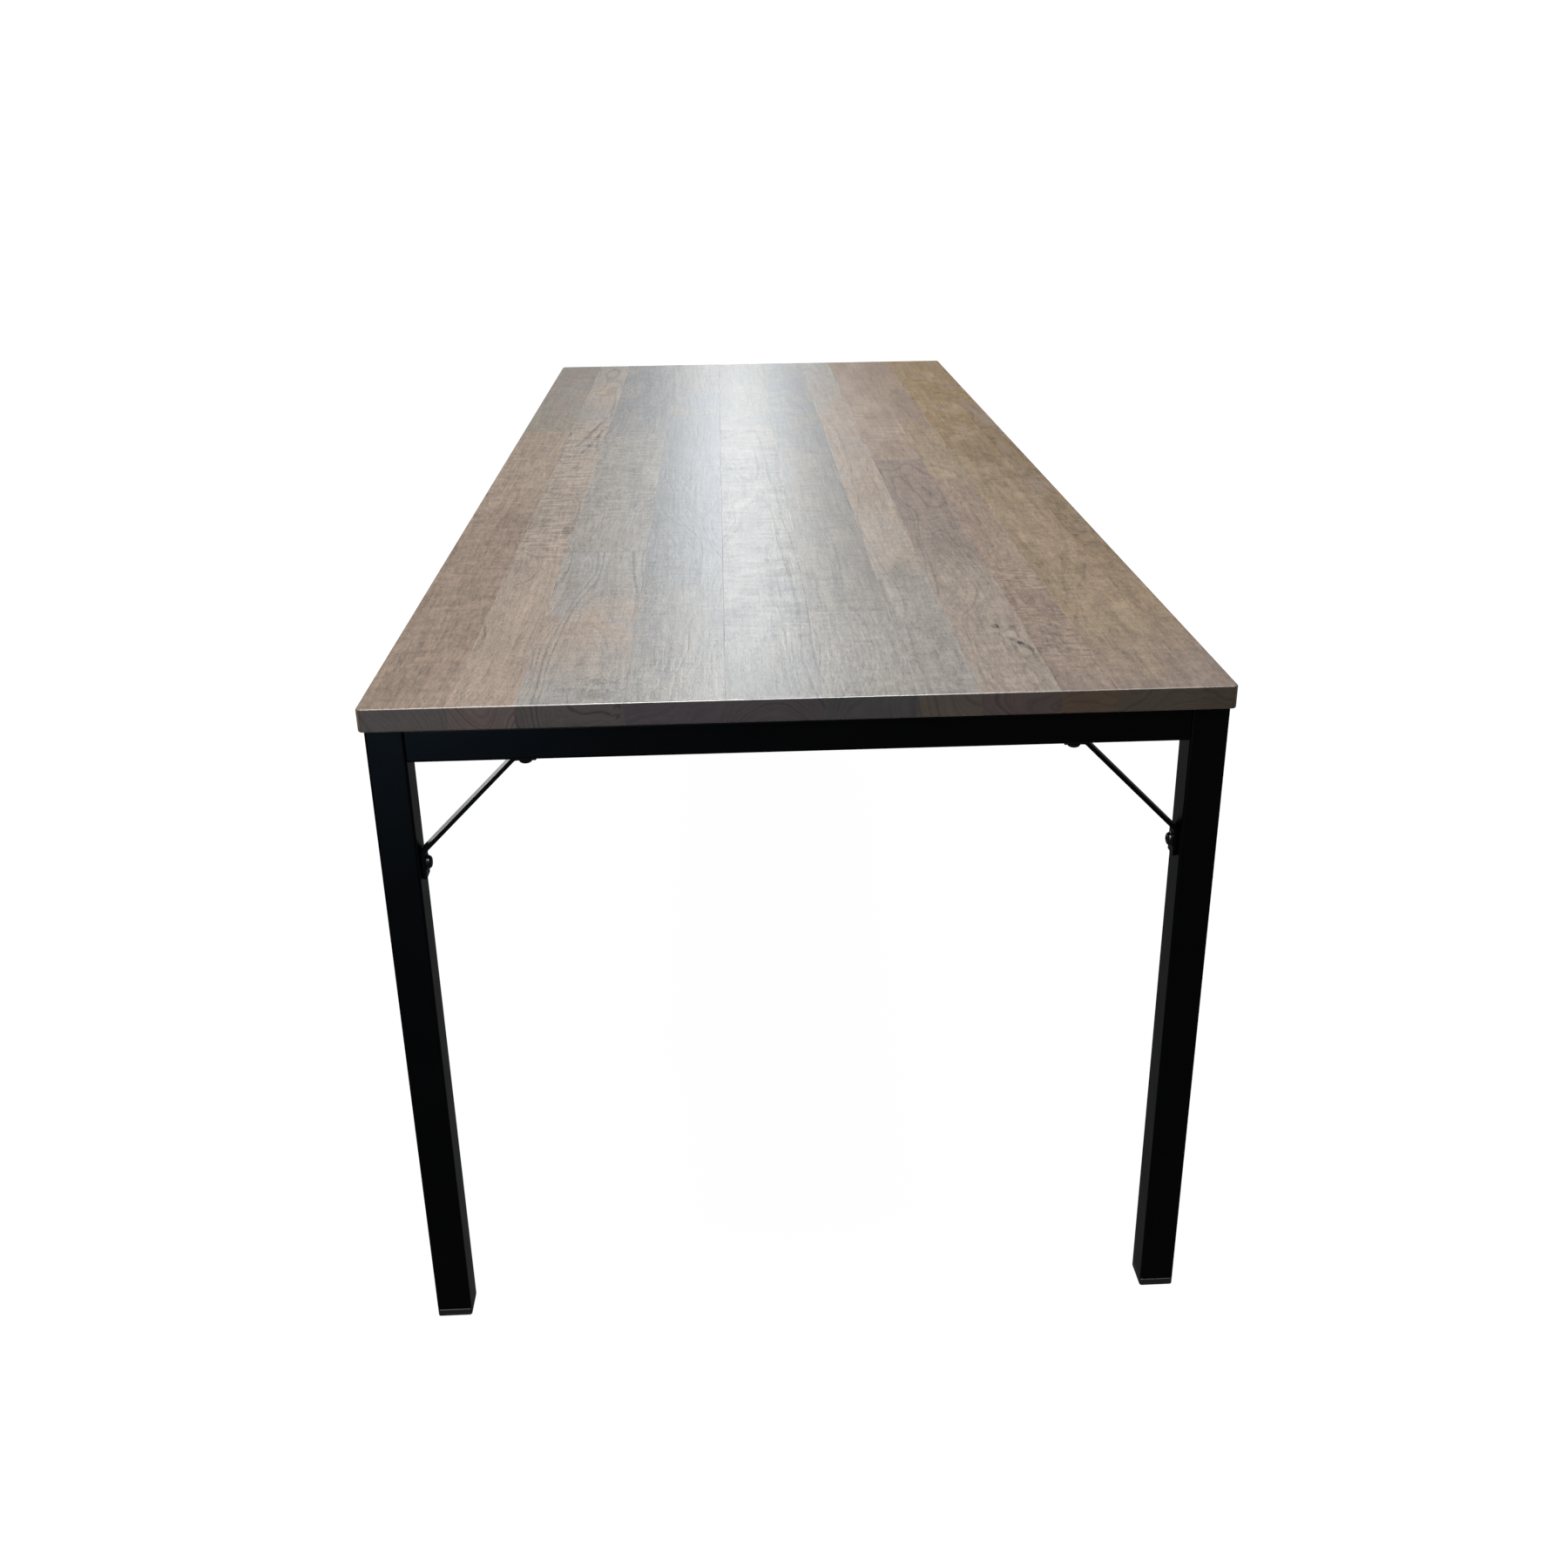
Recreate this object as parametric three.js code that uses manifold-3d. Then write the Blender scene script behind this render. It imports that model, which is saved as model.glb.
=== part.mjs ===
// Butcher block table: a top glued up from hardwood staves, on a black square-tube steel frame.
// A flat-bar knee brace is bolted into each corner of the two end frames.
// Millimetres, +Z up. The origin is on the floor under the middle of the top,
// X runs across the table and Y along it, from the near end at -Y to the far end at +Y.
import * as THREE from "three";
import { mergeVertices } from "three/addons/utils/BufferGeometryUtils.js";
import Module from "manifold-3d";

const wasm = await Module();
wasm.setup();

const GAP = 0.3; // clearance kept between pieces that touch on the real table
const NEAR = -1; // the end of the table at -Y
const FAR = 1; // the end of the table at +Y
const LEFT = -1;
const RIGHT = 1;

// Overall size
const TABLE_LENGTH = 2400;
const TABLE_WIDTH = 900;
const TABLE_HEIGHT = 775;

// Wooden top
const TOP_THICKNESS = 25;
const TOP_EDGE_ROUND = 1.5;
const TOP_CORNER_ROUND = 6;
const TOP_UNDERSIDE = TABLE_HEIGHT - TOP_THICKNESS;

// Rows of staves from left to right: the width of the row, and the distance from the near end
// at which its pieces meet end to end. A row without a joint is one full-length stave.
const STAVE_ROWS = [
  { width: 91, joint: 1540 },
  { width: 68 },
  { width: 110, joint: 615 },
  { width: 103, joint: 1690 },
  { width: 101 },
  { width: 95, joint: 300 },
  { width: 66, joint: 1670 },
  { width: 82, joint: 1206 },
  { width: 58, joint: 1040 },
  { width: 87 },
  { width: 39 },
];

// Steel frame: legs flush under the top's edges, less an even overhang
const TOP_OVERHANG = 5;
const LEG_SIDE = 40;
const TUBE_WALL = 2;
const TUBE_ROUND = 3;
const RAIL_DEPTH = 36; // from the top's underside to the underside of the aprons and side rails
const RAIL_UNDERSIDE = TOP_UNDERSIDE - RAIL_DEPTH;
const LEG_X = TABLE_WIDTH / 2 - TOP_OVERHANG - LEG_SIDE / 2;
const LEG_Y = TABLE_LENGTH / 2 - TOP_OVERHANG - LEG_SIDE / 2;
const LEG_INNER_X = LEG_X - LEG_SIDE / 2;
const LEG_INNER_Y = LEG_Y - LEG_SIDE / 2;

// Cross rails under the middle of the top
const CROSS_RAIL_SIDE = 30;
const CROSS_RAIL_WALL = 1.5;
const CROSS_RAIL_Y = 400;

// Plastic feet pushed into the leg ends
const FOOT_HEIGHT = 10;
const FOOT_EDGE_ROUND = 1.5;
const FOOT_CORE_SIDE = 30;
const FOOT_CORE_HEIGHT = 22;
const FOOT_FIN_THICKNESS = 1.5;
const FOOT_FIN_PITCH = 6;
const FOOT_FIRST_FIN = 2; // above the head

// Knee braces, measured from the corner between the leg's inner face and the apron's underside
const BRACE_WIDTH = 20;
const BRACE_THICKNESS = 4.5;
const BRACE_BEND_RADIUS = 6; // to the middle of the bar
const BRACE_DIAGONAL = 109.6; // where the middle of the slanting bar would cross leg and apron
const BRACE_LEG_END = 137;
const BRACE_APRON_END = 130;
const BRACE_LEG_BOLT = 121;
const BRACE_APRON_BOLT = 118;

// Flanged button-head bolts that hold the braces
const BOLT_SHANK_RADIUS = 4;
const BOLT_SHANK_LENGTH = 20;
const BOLT_HOLE_RADIUS = 4.5;
const BOLT_FLANGE_RADIUS = 8.75;
const BOLT_FLANGE_RIM = 0.8;
const BOLT_FLANGE_THICKNESS = 1.4; // where it meets the dome
const BOLT_DOME_RADIUS = 7.2;
const BOLT_CROWN_RADIUS = 3.8;
const BOLT_HEAD_HEIGHT = 5;
const BOLT_SOCKET_RADIUS = 2.9;
const BOLT_SOCKET_DEPTH = 2.6;

// Steel tabs on the rails, and the wood screws through them that hold the top down
const TAB_LENGTH = 40;
const TAB_REACH = 30;
const TAB_THICKNESS = 3;
const TAB_ROUND = 6;
const TAB_SLOT_RADIUS = 3;
const TAB_SLOT_TRAVEL = 6;
const SCREW_SHANK_RADIUS = 2.3;
const SCREW_IN_WOOD = 15;
const SCREW_TIP = 4;
const SCREW_HEAD_RADIUS = 5;
const SCREW_HEAD_HEIGHT = 3;
const SCREW_CROWN_RADIUS = 3;
const SCREW_RECESS_RADIUS = 1.6;
const SCREW_RECESS_DEPTH = 1.6;
const SCREW_RIM = 0.6; // the straight rim under the head's dome
const SCREW_HOLE_CLEARANCE = 0.4;
const APRON_TAB_X = 200;
const SIDE_TAB_Y = 800;

// How finely round shapes are divided
const ROUND_SEGMENTS = 24;
const SMALL_ROUND_SEGMENTS = 16;
const CORNER_SEGMENTS = 4;
const DOME_SEGMENTS = 3;

const table = new THREE.Group();
table.name = "butcher_block_table";

// ---------------------------------------------------------------- materials

const woodTones = ["#85766b", "#7a7068", "#8c7b6e", "#7f756e", "#94877b", "#877664"];

function wood(index) {
  const color = woodTones[index % woodTones.length];
  return new THREE.MeshStandardMaterial({ color, roughness: 0.45, metalness: 0 });
}

function blackPaintedSteel() {
  return new THREE.MeshStandardMaterial({ color: "#14151a", roughness: 0.45, metalness: 0.4 });
}

function blackPlastic() {
  return new THREE.MeshStandardMaterial({ color: "#1b1a18", roughness: 0.6, metalness: 0 });
}

function blackenedSteel() {
  return new THREE.MeshStandardMaterial({ color: "#191919", roughness: 0.35, metalness: 0.8 });
}

function zincSteel() {
  return new THREE.MeshStandardMaterial({ color: "#a9a79c", roughness: 0.35, metalness: 0.9 });
}

// ------------------------------------------------------------------ helpers

function endName(end) {
  return end === NEAR ? "near" : "far";
}

function sideName(side) {
  return side === LEFT ? "left" : "right";
}

function addPiece(name, geometry, material) {
  const mesh = new THREE.Mesh(geometry, material);
  mesh.name = name;
  table.add(mesh);
  return mesh;
}

// A closed geometry as a solid that can be cut and joined.
function solid(geometry) {
  const bare = geometry.clone();
  bare.deleteAttribute("normal");
  bare.deleteAttribute("uv");
  const merged = mergeVertices(bare, 1e-4);
  return new wasm.Manifold(
    new wasm.Mesh({
      numProp: 3,
      vertProperties: merged.attributes.position.array,
      triVerts: new Uint32Array(merged.index.array),
    }),
  );
}

function geometryOf(body) {
  const mesh = body.getMesh();
  const geometry = new THREE.BufferGeometry();
  geometry.setAttribute("position", new THREE.BufferAttribute(mesh.vertProperties, 3));
  geometry.setIndex(new THREE.BufferAttribute(mesh.triVerts, 1));
  geometry.computeVertexNormals();
  return geometry;
}

// A box between two corners.
function box(from, to) {
  const size = new THREE.Vector3().subVectors(to, from);
  const middle = new THREE.Vector3().addVectors(from, to).multiplyScalar(0.5);
  return new THREE.BoxGeometry(size.x, size.y, size.z).translate(middle.x, middle.y, middle.z);
}

// A rectangle with round corners, centred on the origin.
function roundedRectangle(width, height, radius, Outline = THREE.Shape) {
  const x = width / 2 - radius;
  const y = height / 2 - radius;
  const outline = new Outline();
  outline.absarc(x, y, radius, 0, Math.PI / 2);
  outline.absarc(-x, y, radius, Math.PI / 2, Math.PI);
  outline.absarc(-x, -y, radius, Math.PI, Math.PI * 1.5);
  outline.absarc(x, -y, radius, Math.PI * 1.5, Math.PI * 2);
  outline.closePath();
  return outline;
}

// A rectangular tube, open at both ends, standing along Z on z = 0.
function tube(width, height, length, wall) {
  const section = roundedRectangle(width, height, TUBE_ROUND);
  const boreRound = TUBE_ROUND - wall;
  section.holes.push(
    roundedRectangle(width - 2 * wall, height - 2 * wall, boreRound, THREE.Path),
  );
  return new THREE.ExtrudeGeometry(section, {
    depth: length,
    bevelEnabled: false,
    curveSegments: CORNER_SEGMENTS,
  });
}

// A block standing along Z on z = 0, its edges rounded over at both ends.
function roundedBlock(width, length, height, cornerRound, edgeRound) {
  const geometry = new THREE.ExtrudeGeometry(roundedRectangle(width, length, cornerRound), {
    depth: height - 2 * edgeRound,
    bevelThickness: edgeRound,
    bevelSize: edgeRound,
    bevelOffset: -edgeRound,
    bevelSegments: CORNER_SEGMENTS,
    curveSegments: CORNER_SEGMENTS,
  });
  return geometry.translate(0, 0, edgeRound);
}

// A turned piece along Z from a profile of [radius, z] points that starts and ends on the axis.
function turned(profile, segments) {
  const points = profile.map(([radius, z]) => new THREE.Vector2(radius, z));
  return new THREE.LatheGeometry(points, segments).rotateX(Math.PI / 2);
}

// The [radius, z] points of a dome that closes in from a rim to a crown.
function dome(rimRadius, rimZ, crownRadius, crownZ) {
  const points = [];
  for (let step = 0; step <= DOME_SEGMENTS; step += 1) {
    const angle = (step / DOME_SEGMENTS) * (Math.PI / 2);
    points.push([
      crownRadius + (rimRadius - crownRadius) * Math.cos(angle),
      rimZ + (crownZ - rimZ) * Math.sin(angle),
    ]);
  }
  return points;
}

// A round pin along Z, used to drill holes, centred on the origin.
function drill(radius, length, segments = ROUND_SEGMENTS) {
  return new THREE.CylinderGeometry(radius, radius, length, segments).rotateX(Math.PI / 2);
}

// --------------------------------------------------------------- fixing tabs

// Where the tabs are welded to the rails: the middle of the joint, the way the tab points,
// and whether its slot runs along the rail. Every slot runs across the grain, so the top can move.
function tabPlaces() {
  const places = [];
  for (const end of [NEAR, FAR]) {
    for (const side of [LEFT, RIGHT]) {
      places.push({
        name: `${endName(end)}_apron_${sideName(side)}`,
        x: side * APRON_TAB_X,
        y: end * (LEG_INNER_Y - GAP),
        turn: end === NEAR ? 0 : Math.PI,
        slotAlongRail: true,
      });
      places.push({
        name: `${sideName(side)}_rail_${endName(end)}`,
        x: side * (LEG_INNER_X - GAP),
        y: end * SIDE_TAB_Y,
        turn: side === LEFT ? -Math.PI / 2 : Math.PI / 2,
        slotAlongRail: false,
      });
    }
  }
  return places;
}

function screwAxis(place) {
  const reach = TAB_REACH / 2;
  return new THREE.Vector2(
    place.x - Math.sin(place.turn) * reach,
    place.y + Math.cos(place.turn) * reach,
  );
}

// A flat tab that starts at the rail and reaches along +Y, its free corners rounded.
function tabGeometry(slotAlongRail) {
  const half = TAB_LENGTH / 2;
  const plate = new THREE.Shape();
  plate.moveTo(-half, 0);
  plate.lineTo(half, 0);
  plate.absarc(half - TAB_ROUND, TAB_REACH - TAB_ROUND, TAB_ROUND, 0, Math.PI / 2);
  plate.absarc(-half + TAB_ROUND, TAB_REACH - TAB_ROUND, TAB_ROUND, Math.PI / 2, Math.PI);
  plate.closePath();

  const shift = TAB_SLOT_TRAVEL / 2;
  const middle = TAB_REACH / 2;
  const slot = new THREE.Path();
  if (slotAlongRail) {
    slot.absarc(shift, middle, TAB_SLOT_RADIUS, -Math.PI / 2, Math.PI / 2);
    slot.absarc(-shift, middle, TAB_SLOT_RADIUS, Math.PI / 2, Math.PI * 1.5);
  } else {
    slot.absarc(0, middle + shift, TAB_SLOT_RADIUS, 0, Math.PI);
    slot.absarc(0, middle - shift, TAB_SLOT_RADIUS, Math.PI, Math.PI * 2);
  }
  slot.closePath();
  plate.holes.push(slot);
  return new THREE.ExtrudeGeometry(plate, {
    depth: TAB_THICKNESS,
    bevelEnabled: false,
    curveSegments: CORNER_SEGMENTS,
  });
}

// A pan-head wood screw, its head's seat on z = 0 and its point up.
function woodScrewGeometry() {
  const length = TAB_THICKNESS + 2 * GAP + SCREW_IN_WOOD;
  const recessFloor = SCREW_RECESS_DEPTH - SCREW_HEAD_HEIGHT;
  return turned(
    [
      [0, recessFloor],
      [SCREW_RECESS_RADIUS, recessFloor],
      [SCREW_RECESS_RADIUS, -SCREW_HEAD_HEIGHT],
      ...dome(SCREW_HEAD_RADIUS, -SCREW_RIM, SCREW_CROWN_RADIUS, -SCREW_HEAD_HEIGHT).reverse(),
      [SCREW_HEAD_RADIUS, 0],
      [SCREW_SHANK_RADIUS, 0],
      [SCREW_SHANK_RADIUS, length - SCREW_TIP],
      [0, length],
    ],
    SMALL_ROUND_SEGMENTS,
  );
}

function addTopFixings() {
  for (const place of tabPlaces()) {
    const tab = addPiece(`tab_${place.name}`, tabGeometry(place.slotAlongRail), blackPaintedSteel());
    tab.position.set(place.x, place.y, TOP_UNDERSIDE - GAP - TAB_THICKNESS);
    tab.rotation.z = place.turn;

    const axis = screwAxis(place);
    const screw = addPiece(`screw_${place.name}`, woodScrewGeometry(), zincSteel());
    screw.position.set(axis.x, axis.y, TOP_UNDERSIDE - 2 * GAP - TAB_THICKNESS);
  }
}

// ------------------------------------------------------------------ the top

// The whole top with its rounded edges and the pilot holes in its underside.
function topSlab() {
  const blank = roundedBlock(
    TABLE_WIDTH, TABLE_LENGTH, TOP_THICKNESS, TOP_CORNER_ROUND, TOP_EDGE_ROUND,
  ).translate(0, 0, TOP_UNDERSIDE);
  const holeRadius = SCREW_SHANK_RADIUS + SCREW_HOLE_CLEARANCE;
  const holeDepth = SCREW_IN_WOOD + 2 * SCREW_HOLE_CLEARANCE;
  let slab = solid(blank);
  for (const place of tabPlaces()) {
    const axis = screwAxis(place);
    const hole = drill(holeRadius, 2 * holeDepth, SMALL_ROUND_SEGMENTS);
    slab = slab.subtract(solid(hole.translate(axis.x, axis.y, TOP_UNDERSIDE)));
  }
  return slab;
}

// One stave: the part of the slab between two seams and two end joints.
function stave(slab, left, right, near, far) {
  const region = box(
    new THREE.Vector3(left, near, TOP_UNDERSIDE - TOP_THICKNESS),
    new THREE.Vector3(right, far, TABLE_HEIGHT + TOP_THICKNESS),
  );
  return geometryOf(slab.intersect(solid(region)));
}

function addTop() {
  const slab = topSlab();
  const beyond = TABLE_LENGTH; // well past either end
  let seam = -TABLE_WIDTH / 2;
  STAVE_ROWS.forEach((row, index) => {
    const name = `stave_${index + 1}`;
    const isFirst = index === 0;
    const isLast = index === STAVE_ROWS.length - 1;
    const left = isFirst ? -TABLE_WIDTH : seam + GAP / 2;
    const right = isLast ? TABLE_WIDTH : seam + row.width - GAP / 2;
    if (row.joint) {
      const joint = row.joint - TABLE_LENGTH / 2;
      const nearStave = stave(slab, left, right, -beyond, joint - GAP / 2);
      const farStave = stave(slab, left, right, joint + GAP / 2, beyond);
      addPiece(`${name}_near`, nearStave, wood(index));
      addPiece(`${name}_far`, farStave, wood(index + 2));
    } else {
      addPiece(name, stave(slab, left, right, -beyond, beyond), wood(index));
    }
    seam += row.width;
  });
}

// ---------------------------------------------------------------- the frame

// A leg standing on z = 0 with the brace bolt's hole in the face towards the table's middle.
function legGeometry(side) {
  const length = TOP_UNDERSIDE - GAP - FOOT_HEIGHT;
  const blank = tube(LEG_SIDE, LEG_SIDE, length, TUBE_WALL);
  const hole = drill(BOLT_HOLE_RADIUS, LEG_SIDE / 2)
    .rotateY(Math.PI / 2)
    .translate((-side * LEG_SIDE) / 2, 0, RAIL_UNDERSIDE - BRACE_LEG_BOLT - FOOT_HEIGHT);
  return geometryOf(solid(blank).subtract(solid(hole)));
}

// A plastic foot: a square head under the tube and a finned plug inside it.
function footGeometry() {
  const headHeight = FOOT_HEIGHT - GAP;
  const boreSide = LEG_SIDE - 2 * TUBE_WALL - 2 * GAP;
  const head = roundedBlock(LEG_SIDE, LEG_SIDE, headHeight, TUBE_ROUND, FOOT_EDGE_ROUND);
  const coreHalf = FOOT_CORE_SIDE / 2;
  const coreTop = headHeight + FOOT_CORE_HEIGHT;
  let foot = solid(head).add(
    solid(box(
      new THREE.Vector3(-coreHalf, -coreHalf, headHeight / 2),
      new THREE.Vector3(coreHalf, coreHalf, coreTop),
    )),
  );
  const finShape = roundedRectangle(boreSide, boreSide, TUBE_ROUND - TUBE_WALL);
  const lastFin = coreTop - FOOT_FIN_THICKNESS;
  for (let z = headHeight + FOOT_FIRST_FIN; z < lastFin; z += FOOT_FIN_PITCH) {
    const fin = new THREE.ExtrudeGeometry(finShape, {
      depth: FOOT_FIN_THICKNESS,
      bevelEnabled: false,
      curveSegments: CORNER_SEGMENTS,
    });
    foot = foot.add(solid(fin.translate(0, 0, z)));
  }
  return geometryOf(foot);
}

// An end apron along X between two legs, drilled underneath for the two brace bolts.
function apronGeometry() {
  const length = 2 * (LEG_INNER_X - GAP);
  const height = RAIL_DEPTH - GAP;
  const blank = tube(height, LEG_SIDE, length, TUBE_WALL)
    .rotateY(Math.PI / 2)
    .translate(-length / 2, 0, RAIL_UNDERSIDE + height / 2);
  let apron = solid(blank);
  for (const side of [LEFT, RIGHT]) {
    const hole = drill(BOLT_HOLE_RADIUS, LEG_SIDE / 2)
      .translate(side * (LEG_INNER_X - BRACE_APRON_BOLT), 0, RAIL_UNDERSIDE);
    apron = apron.subtract(solid(hole));
  }
  return geometryOf(apron);
}

// A side rail along Y between a near leg and a far leg.
function sideRailGeometry() {
  const length = 2 * (LEG_INNER_Y - GAP);
  const height = RAIL_DEPTH - GAP;
  return tube(LEG_SIDE, height, length, TUBE_WALL)
    .rotateX(Math.PI / 2)
    .translate(0, length / 2, RAIL_UNDERSIDE + height / 2);
}

// A cross rail along X between the side rails, flush with their tops.
function crossRailGeometry() {
  const length = 2 * (LEG_INNER_X - GAP);
  return tube(CROSS_RAIL_SIDE, CROSS_RAIL_SIDE, length, CROSS_RAIL_WALL)
    .rotateY(Math.PI / 2)
    .translate(-length / 2, 0, TOP_UNDERSIDE - GAP - CROSS_RAIL_SIDE / 2);
}

function addFrame() {
  for (const end of [NEAR, FAR]) {
    const apron = addPiece(`${endName(end)}_apron`, apronGeometry(), blackPaintedSteel());
    apron.position.y = end * LEG_Y;
    const crossRail = crossRailGeometry();
    const middleRail = addPiece(`${endName(end)}_cross_rail`, crossRail, blackPaintedSteel());
    middleRail.position.y = end * CROSS_RAIL_Y;
    for (const side of [LEFT, RIGHT]) {
      const corner = `${endName(end)}_${sideName(side)}`;
      const leg = addPiece(`leg_${corner}`, legGeometry(side), blackPaintedSteel());
      leg.position.set(side * LEG_X, end * LEG_Y, FOOT_HEIGHT);
      const foot = addPiece(`foot_${corner}`, footGeometry(), blackPlastic());
      foot.position.set(side * LEG_X, end * LEG_Y, 0);
    }
  }
  for (const side of [LEFT, RIGHT]) {
    const rail = addPiece(`${sideName(side)}_side_rail`, sideRailGeometry(), blackPaintedSteel());
    rail.position.x = side * LEG_X;
  }
}

// --------------------------------------------------------------- the braces

// The bent bar seen from the end of the table: x runs from the leg's inner face towards the
// table's middle, and y is 0 on the apron's underside.
function braceOutline() {
  const half = BRACE_THICKNESS / 2;
  const tabMiddle = GAP + half;
  const cornerToArc = BRACE_BEND_RADIUS * Math.tan(Math.PI / 8);
  const diagonalStep = Math.SQRT1_2 * cornerToArc;
  const legBend = new THREE.Vector2(
    tabMiddle + BRACE_BEND_RADIUS,
    -(BRACE_DIAGONAL - tabMiddle) - cornerToArc,
  );
  const apronBend = new THREE.Vector2(
    BRACE_DIAGONAL - tabMiddle - diagonalStep + BRACE_BEND_RADIUS * Math.SQRT1_2,
    -tabMiddle - diagonalStep - BRACE_BEND_RADIUS * Math.SQRT1_2,
  );
  const outer = BRACE_BEND_RADIUS + half;
  const inner = BRACE_BEND_RADIUS - half;
  const upright = Math.PI;
  const slanting = Math.PI * 0.75;
  const level = Math.PI / 2;

  const outline = new THREE.Shape();
  outline.moveTo(GAP, -BRACE_LEG_END);
  outline.absarc(legBend.x, legBend.y, outer, upright, slanting, true);
  outline.absarc(apronBend.x, apronBend.y, outer, slanting, level, true);
  outline.lineTo(BRACE_APRON_END, -GAP);
  outline.lineTo(BRACE_APRON_END, -GAP - BRACE_THICKNESS);
  outline.absarc(apronBend.x, apronBend.y, inner, level, slanting, false);
  outline.absarc(legBend.x, legBend.y, inner, slanting, upright, false);
  outline.lineTo(GAP + BRACE_THICKNESS, -BRACE_LEG_END);
  outline.closePath();
  return outline;
}

// A knee brace with its corner on the origin, reaching along +X and -Z, its width along Y.
function braceGeometry() {
  const bar = new THREE.ExtrudeGeometry(braceOutline(), {
    depth: BRACE_WIDTH,
    bevelEnabled: false,
    curveSegments: CORNER_SEGMENTS,
  })
    .rotateX(Math.PI / 2)
    .translate(0, BRACE_WIDTH / 2, 0);
  const holeLength = 4 * BRACE_THICKNESS;
  const legHole = drill(BOLT_HOLE_RADIUS, holeLength)
    .rotateY(Math.PI / 2)
    .translate(GAP, 0, -BRACE_LEG_BOLT);
  const apronHole = drill(BOLT_HOLE_RADIUS, holeLength).translate(BRACE_APRON_BOLT, 0, -GAP);
  return geometryOf(solid(bar).subtract(solid(legHole)).subtract(solid(apronHole)));
}

// A bolt whose head's seat is on z = 0, its head up and its shank down.
function boltGeometry() {
  const socketFloor = BOLT_HEAD_HEIGHT - BOLT_SOCKET_DEPTH;
  return turned(
    [
      [0, -BOLT_SHANK_LENGTH],
      [BOLT_SHANK_RADIUS, -BOLT_SHANK_LENGTH],
      [BOLT_SHANK_RADIUS, 0],
      [BOLT_FLANGE_RADIUS, 0],
      [BOLT_FLANGE_RADIUS, BOLT_FLANGE_RIM],
      ...dome(BOLT_DOME_RADIUS, BOLT_FLANGE_THICKNESS, BOLT_CROWN_RADIUS, BOLT_HEAD_HEIGHT),
      [BOLT_SOCKET_RADIUS, BOLT_HEAD_HEIGHT],
      [BOLT_SOCKET_RADIUS, socketFloor],
      [0, socketFloor],
    ],
    ROUND_SEGMENTS,
  );
}

function addBraces() {
  const seat = 2 * GAP + BRACE_THICKNESS; // from the tube's face to the bolt head's seat
  for (const end of [NEAR, FAR]) {
    for (const side of [LEFT, RIGHT]) {
      const corner = `${endName(end)}_${sideName(side)}`;
      const brace = addPiece(`brace_${corner}`, braceGeometry(), blackPaintedSteel());
      brace.position.set(side * LEG_INNER_X, end * LEG_Y, RAIL_UNDERSIDE);
      brace.rotation.z = side === LEFT ? 0 : Math.PI;

      const legBolt = addPiece(`leg_bolt_${corner}`, boltGeometry(), blackenedSteel());
      legBolt.rotation.y = (-side * Math.PI) / 2;
      legBolt.position.set(
        side * (LEG_INNER_X - seat), end * LEG_Y, RAIL_UNDERSIDE - BRACE_LEG_BOLT,
      );

      const apronBolt = addPiece(`apron_bolt_${corner}`, boltGeometry(), blackenedSteel());
      apronBolt.rotation.x = Math.PI;
      apronBolt.position.set(
        side * (LEG_INNER_X - BRACE_APRON_BOLT), end * LEG_Y, RAIL_UNDERSIDE - seat,
      );
    }
  }
}

addTop();
addFrame();
addBraces();
addTopFixings();

export default table;
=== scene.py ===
import math

import bmesh
import bpy
from mathutils import Matrix, Vector


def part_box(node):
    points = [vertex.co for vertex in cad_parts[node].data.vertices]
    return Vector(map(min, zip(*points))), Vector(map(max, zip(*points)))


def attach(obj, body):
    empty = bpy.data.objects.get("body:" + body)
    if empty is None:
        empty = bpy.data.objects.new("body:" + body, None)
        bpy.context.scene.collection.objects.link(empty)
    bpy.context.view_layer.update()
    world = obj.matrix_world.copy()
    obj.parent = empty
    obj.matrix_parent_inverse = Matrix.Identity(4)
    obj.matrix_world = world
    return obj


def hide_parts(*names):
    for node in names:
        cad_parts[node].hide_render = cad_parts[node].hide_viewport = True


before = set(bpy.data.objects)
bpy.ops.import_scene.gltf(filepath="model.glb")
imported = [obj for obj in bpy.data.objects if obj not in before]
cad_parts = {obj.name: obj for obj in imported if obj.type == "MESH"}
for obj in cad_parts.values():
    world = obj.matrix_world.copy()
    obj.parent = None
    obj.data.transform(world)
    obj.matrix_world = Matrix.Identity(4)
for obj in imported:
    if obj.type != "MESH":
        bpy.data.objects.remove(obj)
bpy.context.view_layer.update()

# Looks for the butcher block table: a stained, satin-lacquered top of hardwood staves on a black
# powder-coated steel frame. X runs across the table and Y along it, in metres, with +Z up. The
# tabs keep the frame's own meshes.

MM = 0.001
BODY = "root"
SHARP_ANGLE = math.radians(35)  # edges that turn by more than this stay crisp
CLEARANCE = 0.3 * MM  # the gap that the frame leaves between pieces that touch
HOLE_SIDES = 24


# ---------------------------------------------------------------------------- mesh helpers


def rounded_rectangle(half_x, half_y, radius, steps):
    """The points of a rectangle with round corners, anticlockwise."""
    points = []
    for quarter, (side_x, side_y) in enumerate(((1, 1), (-1, 1), (-1, -1), (1, -1))):
        for step in range(steps + 1):
            angle = (quarter + step / steps) * math.pi / 2
            x = side_x * (half_x - radius) + radius * math.cos(angle)
            y = side_y * (half_y - radius) + radius * math.sin(angle)
            points.append((x, y))
    return points


def level(outline, z):
    """An outline's points lifted to a height."""
    return [Vector((x, y, z)) for x, y in outline]


def ring(radius_at, z_at, count):
    """Points round the Z axis, their radius and height given by functions of the angle."""
    angles = [2 * math.pi * step / count for step in range(count)]
    return [
        Vector((radius_at(a) * math.cos(a), radius_at(a) * math.sin(a), z_at(a)))
        for a in angles
    ]


def circle(radius, z, count):
    return ring(lambda angle: radius, lambda angle: z, count)


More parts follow.
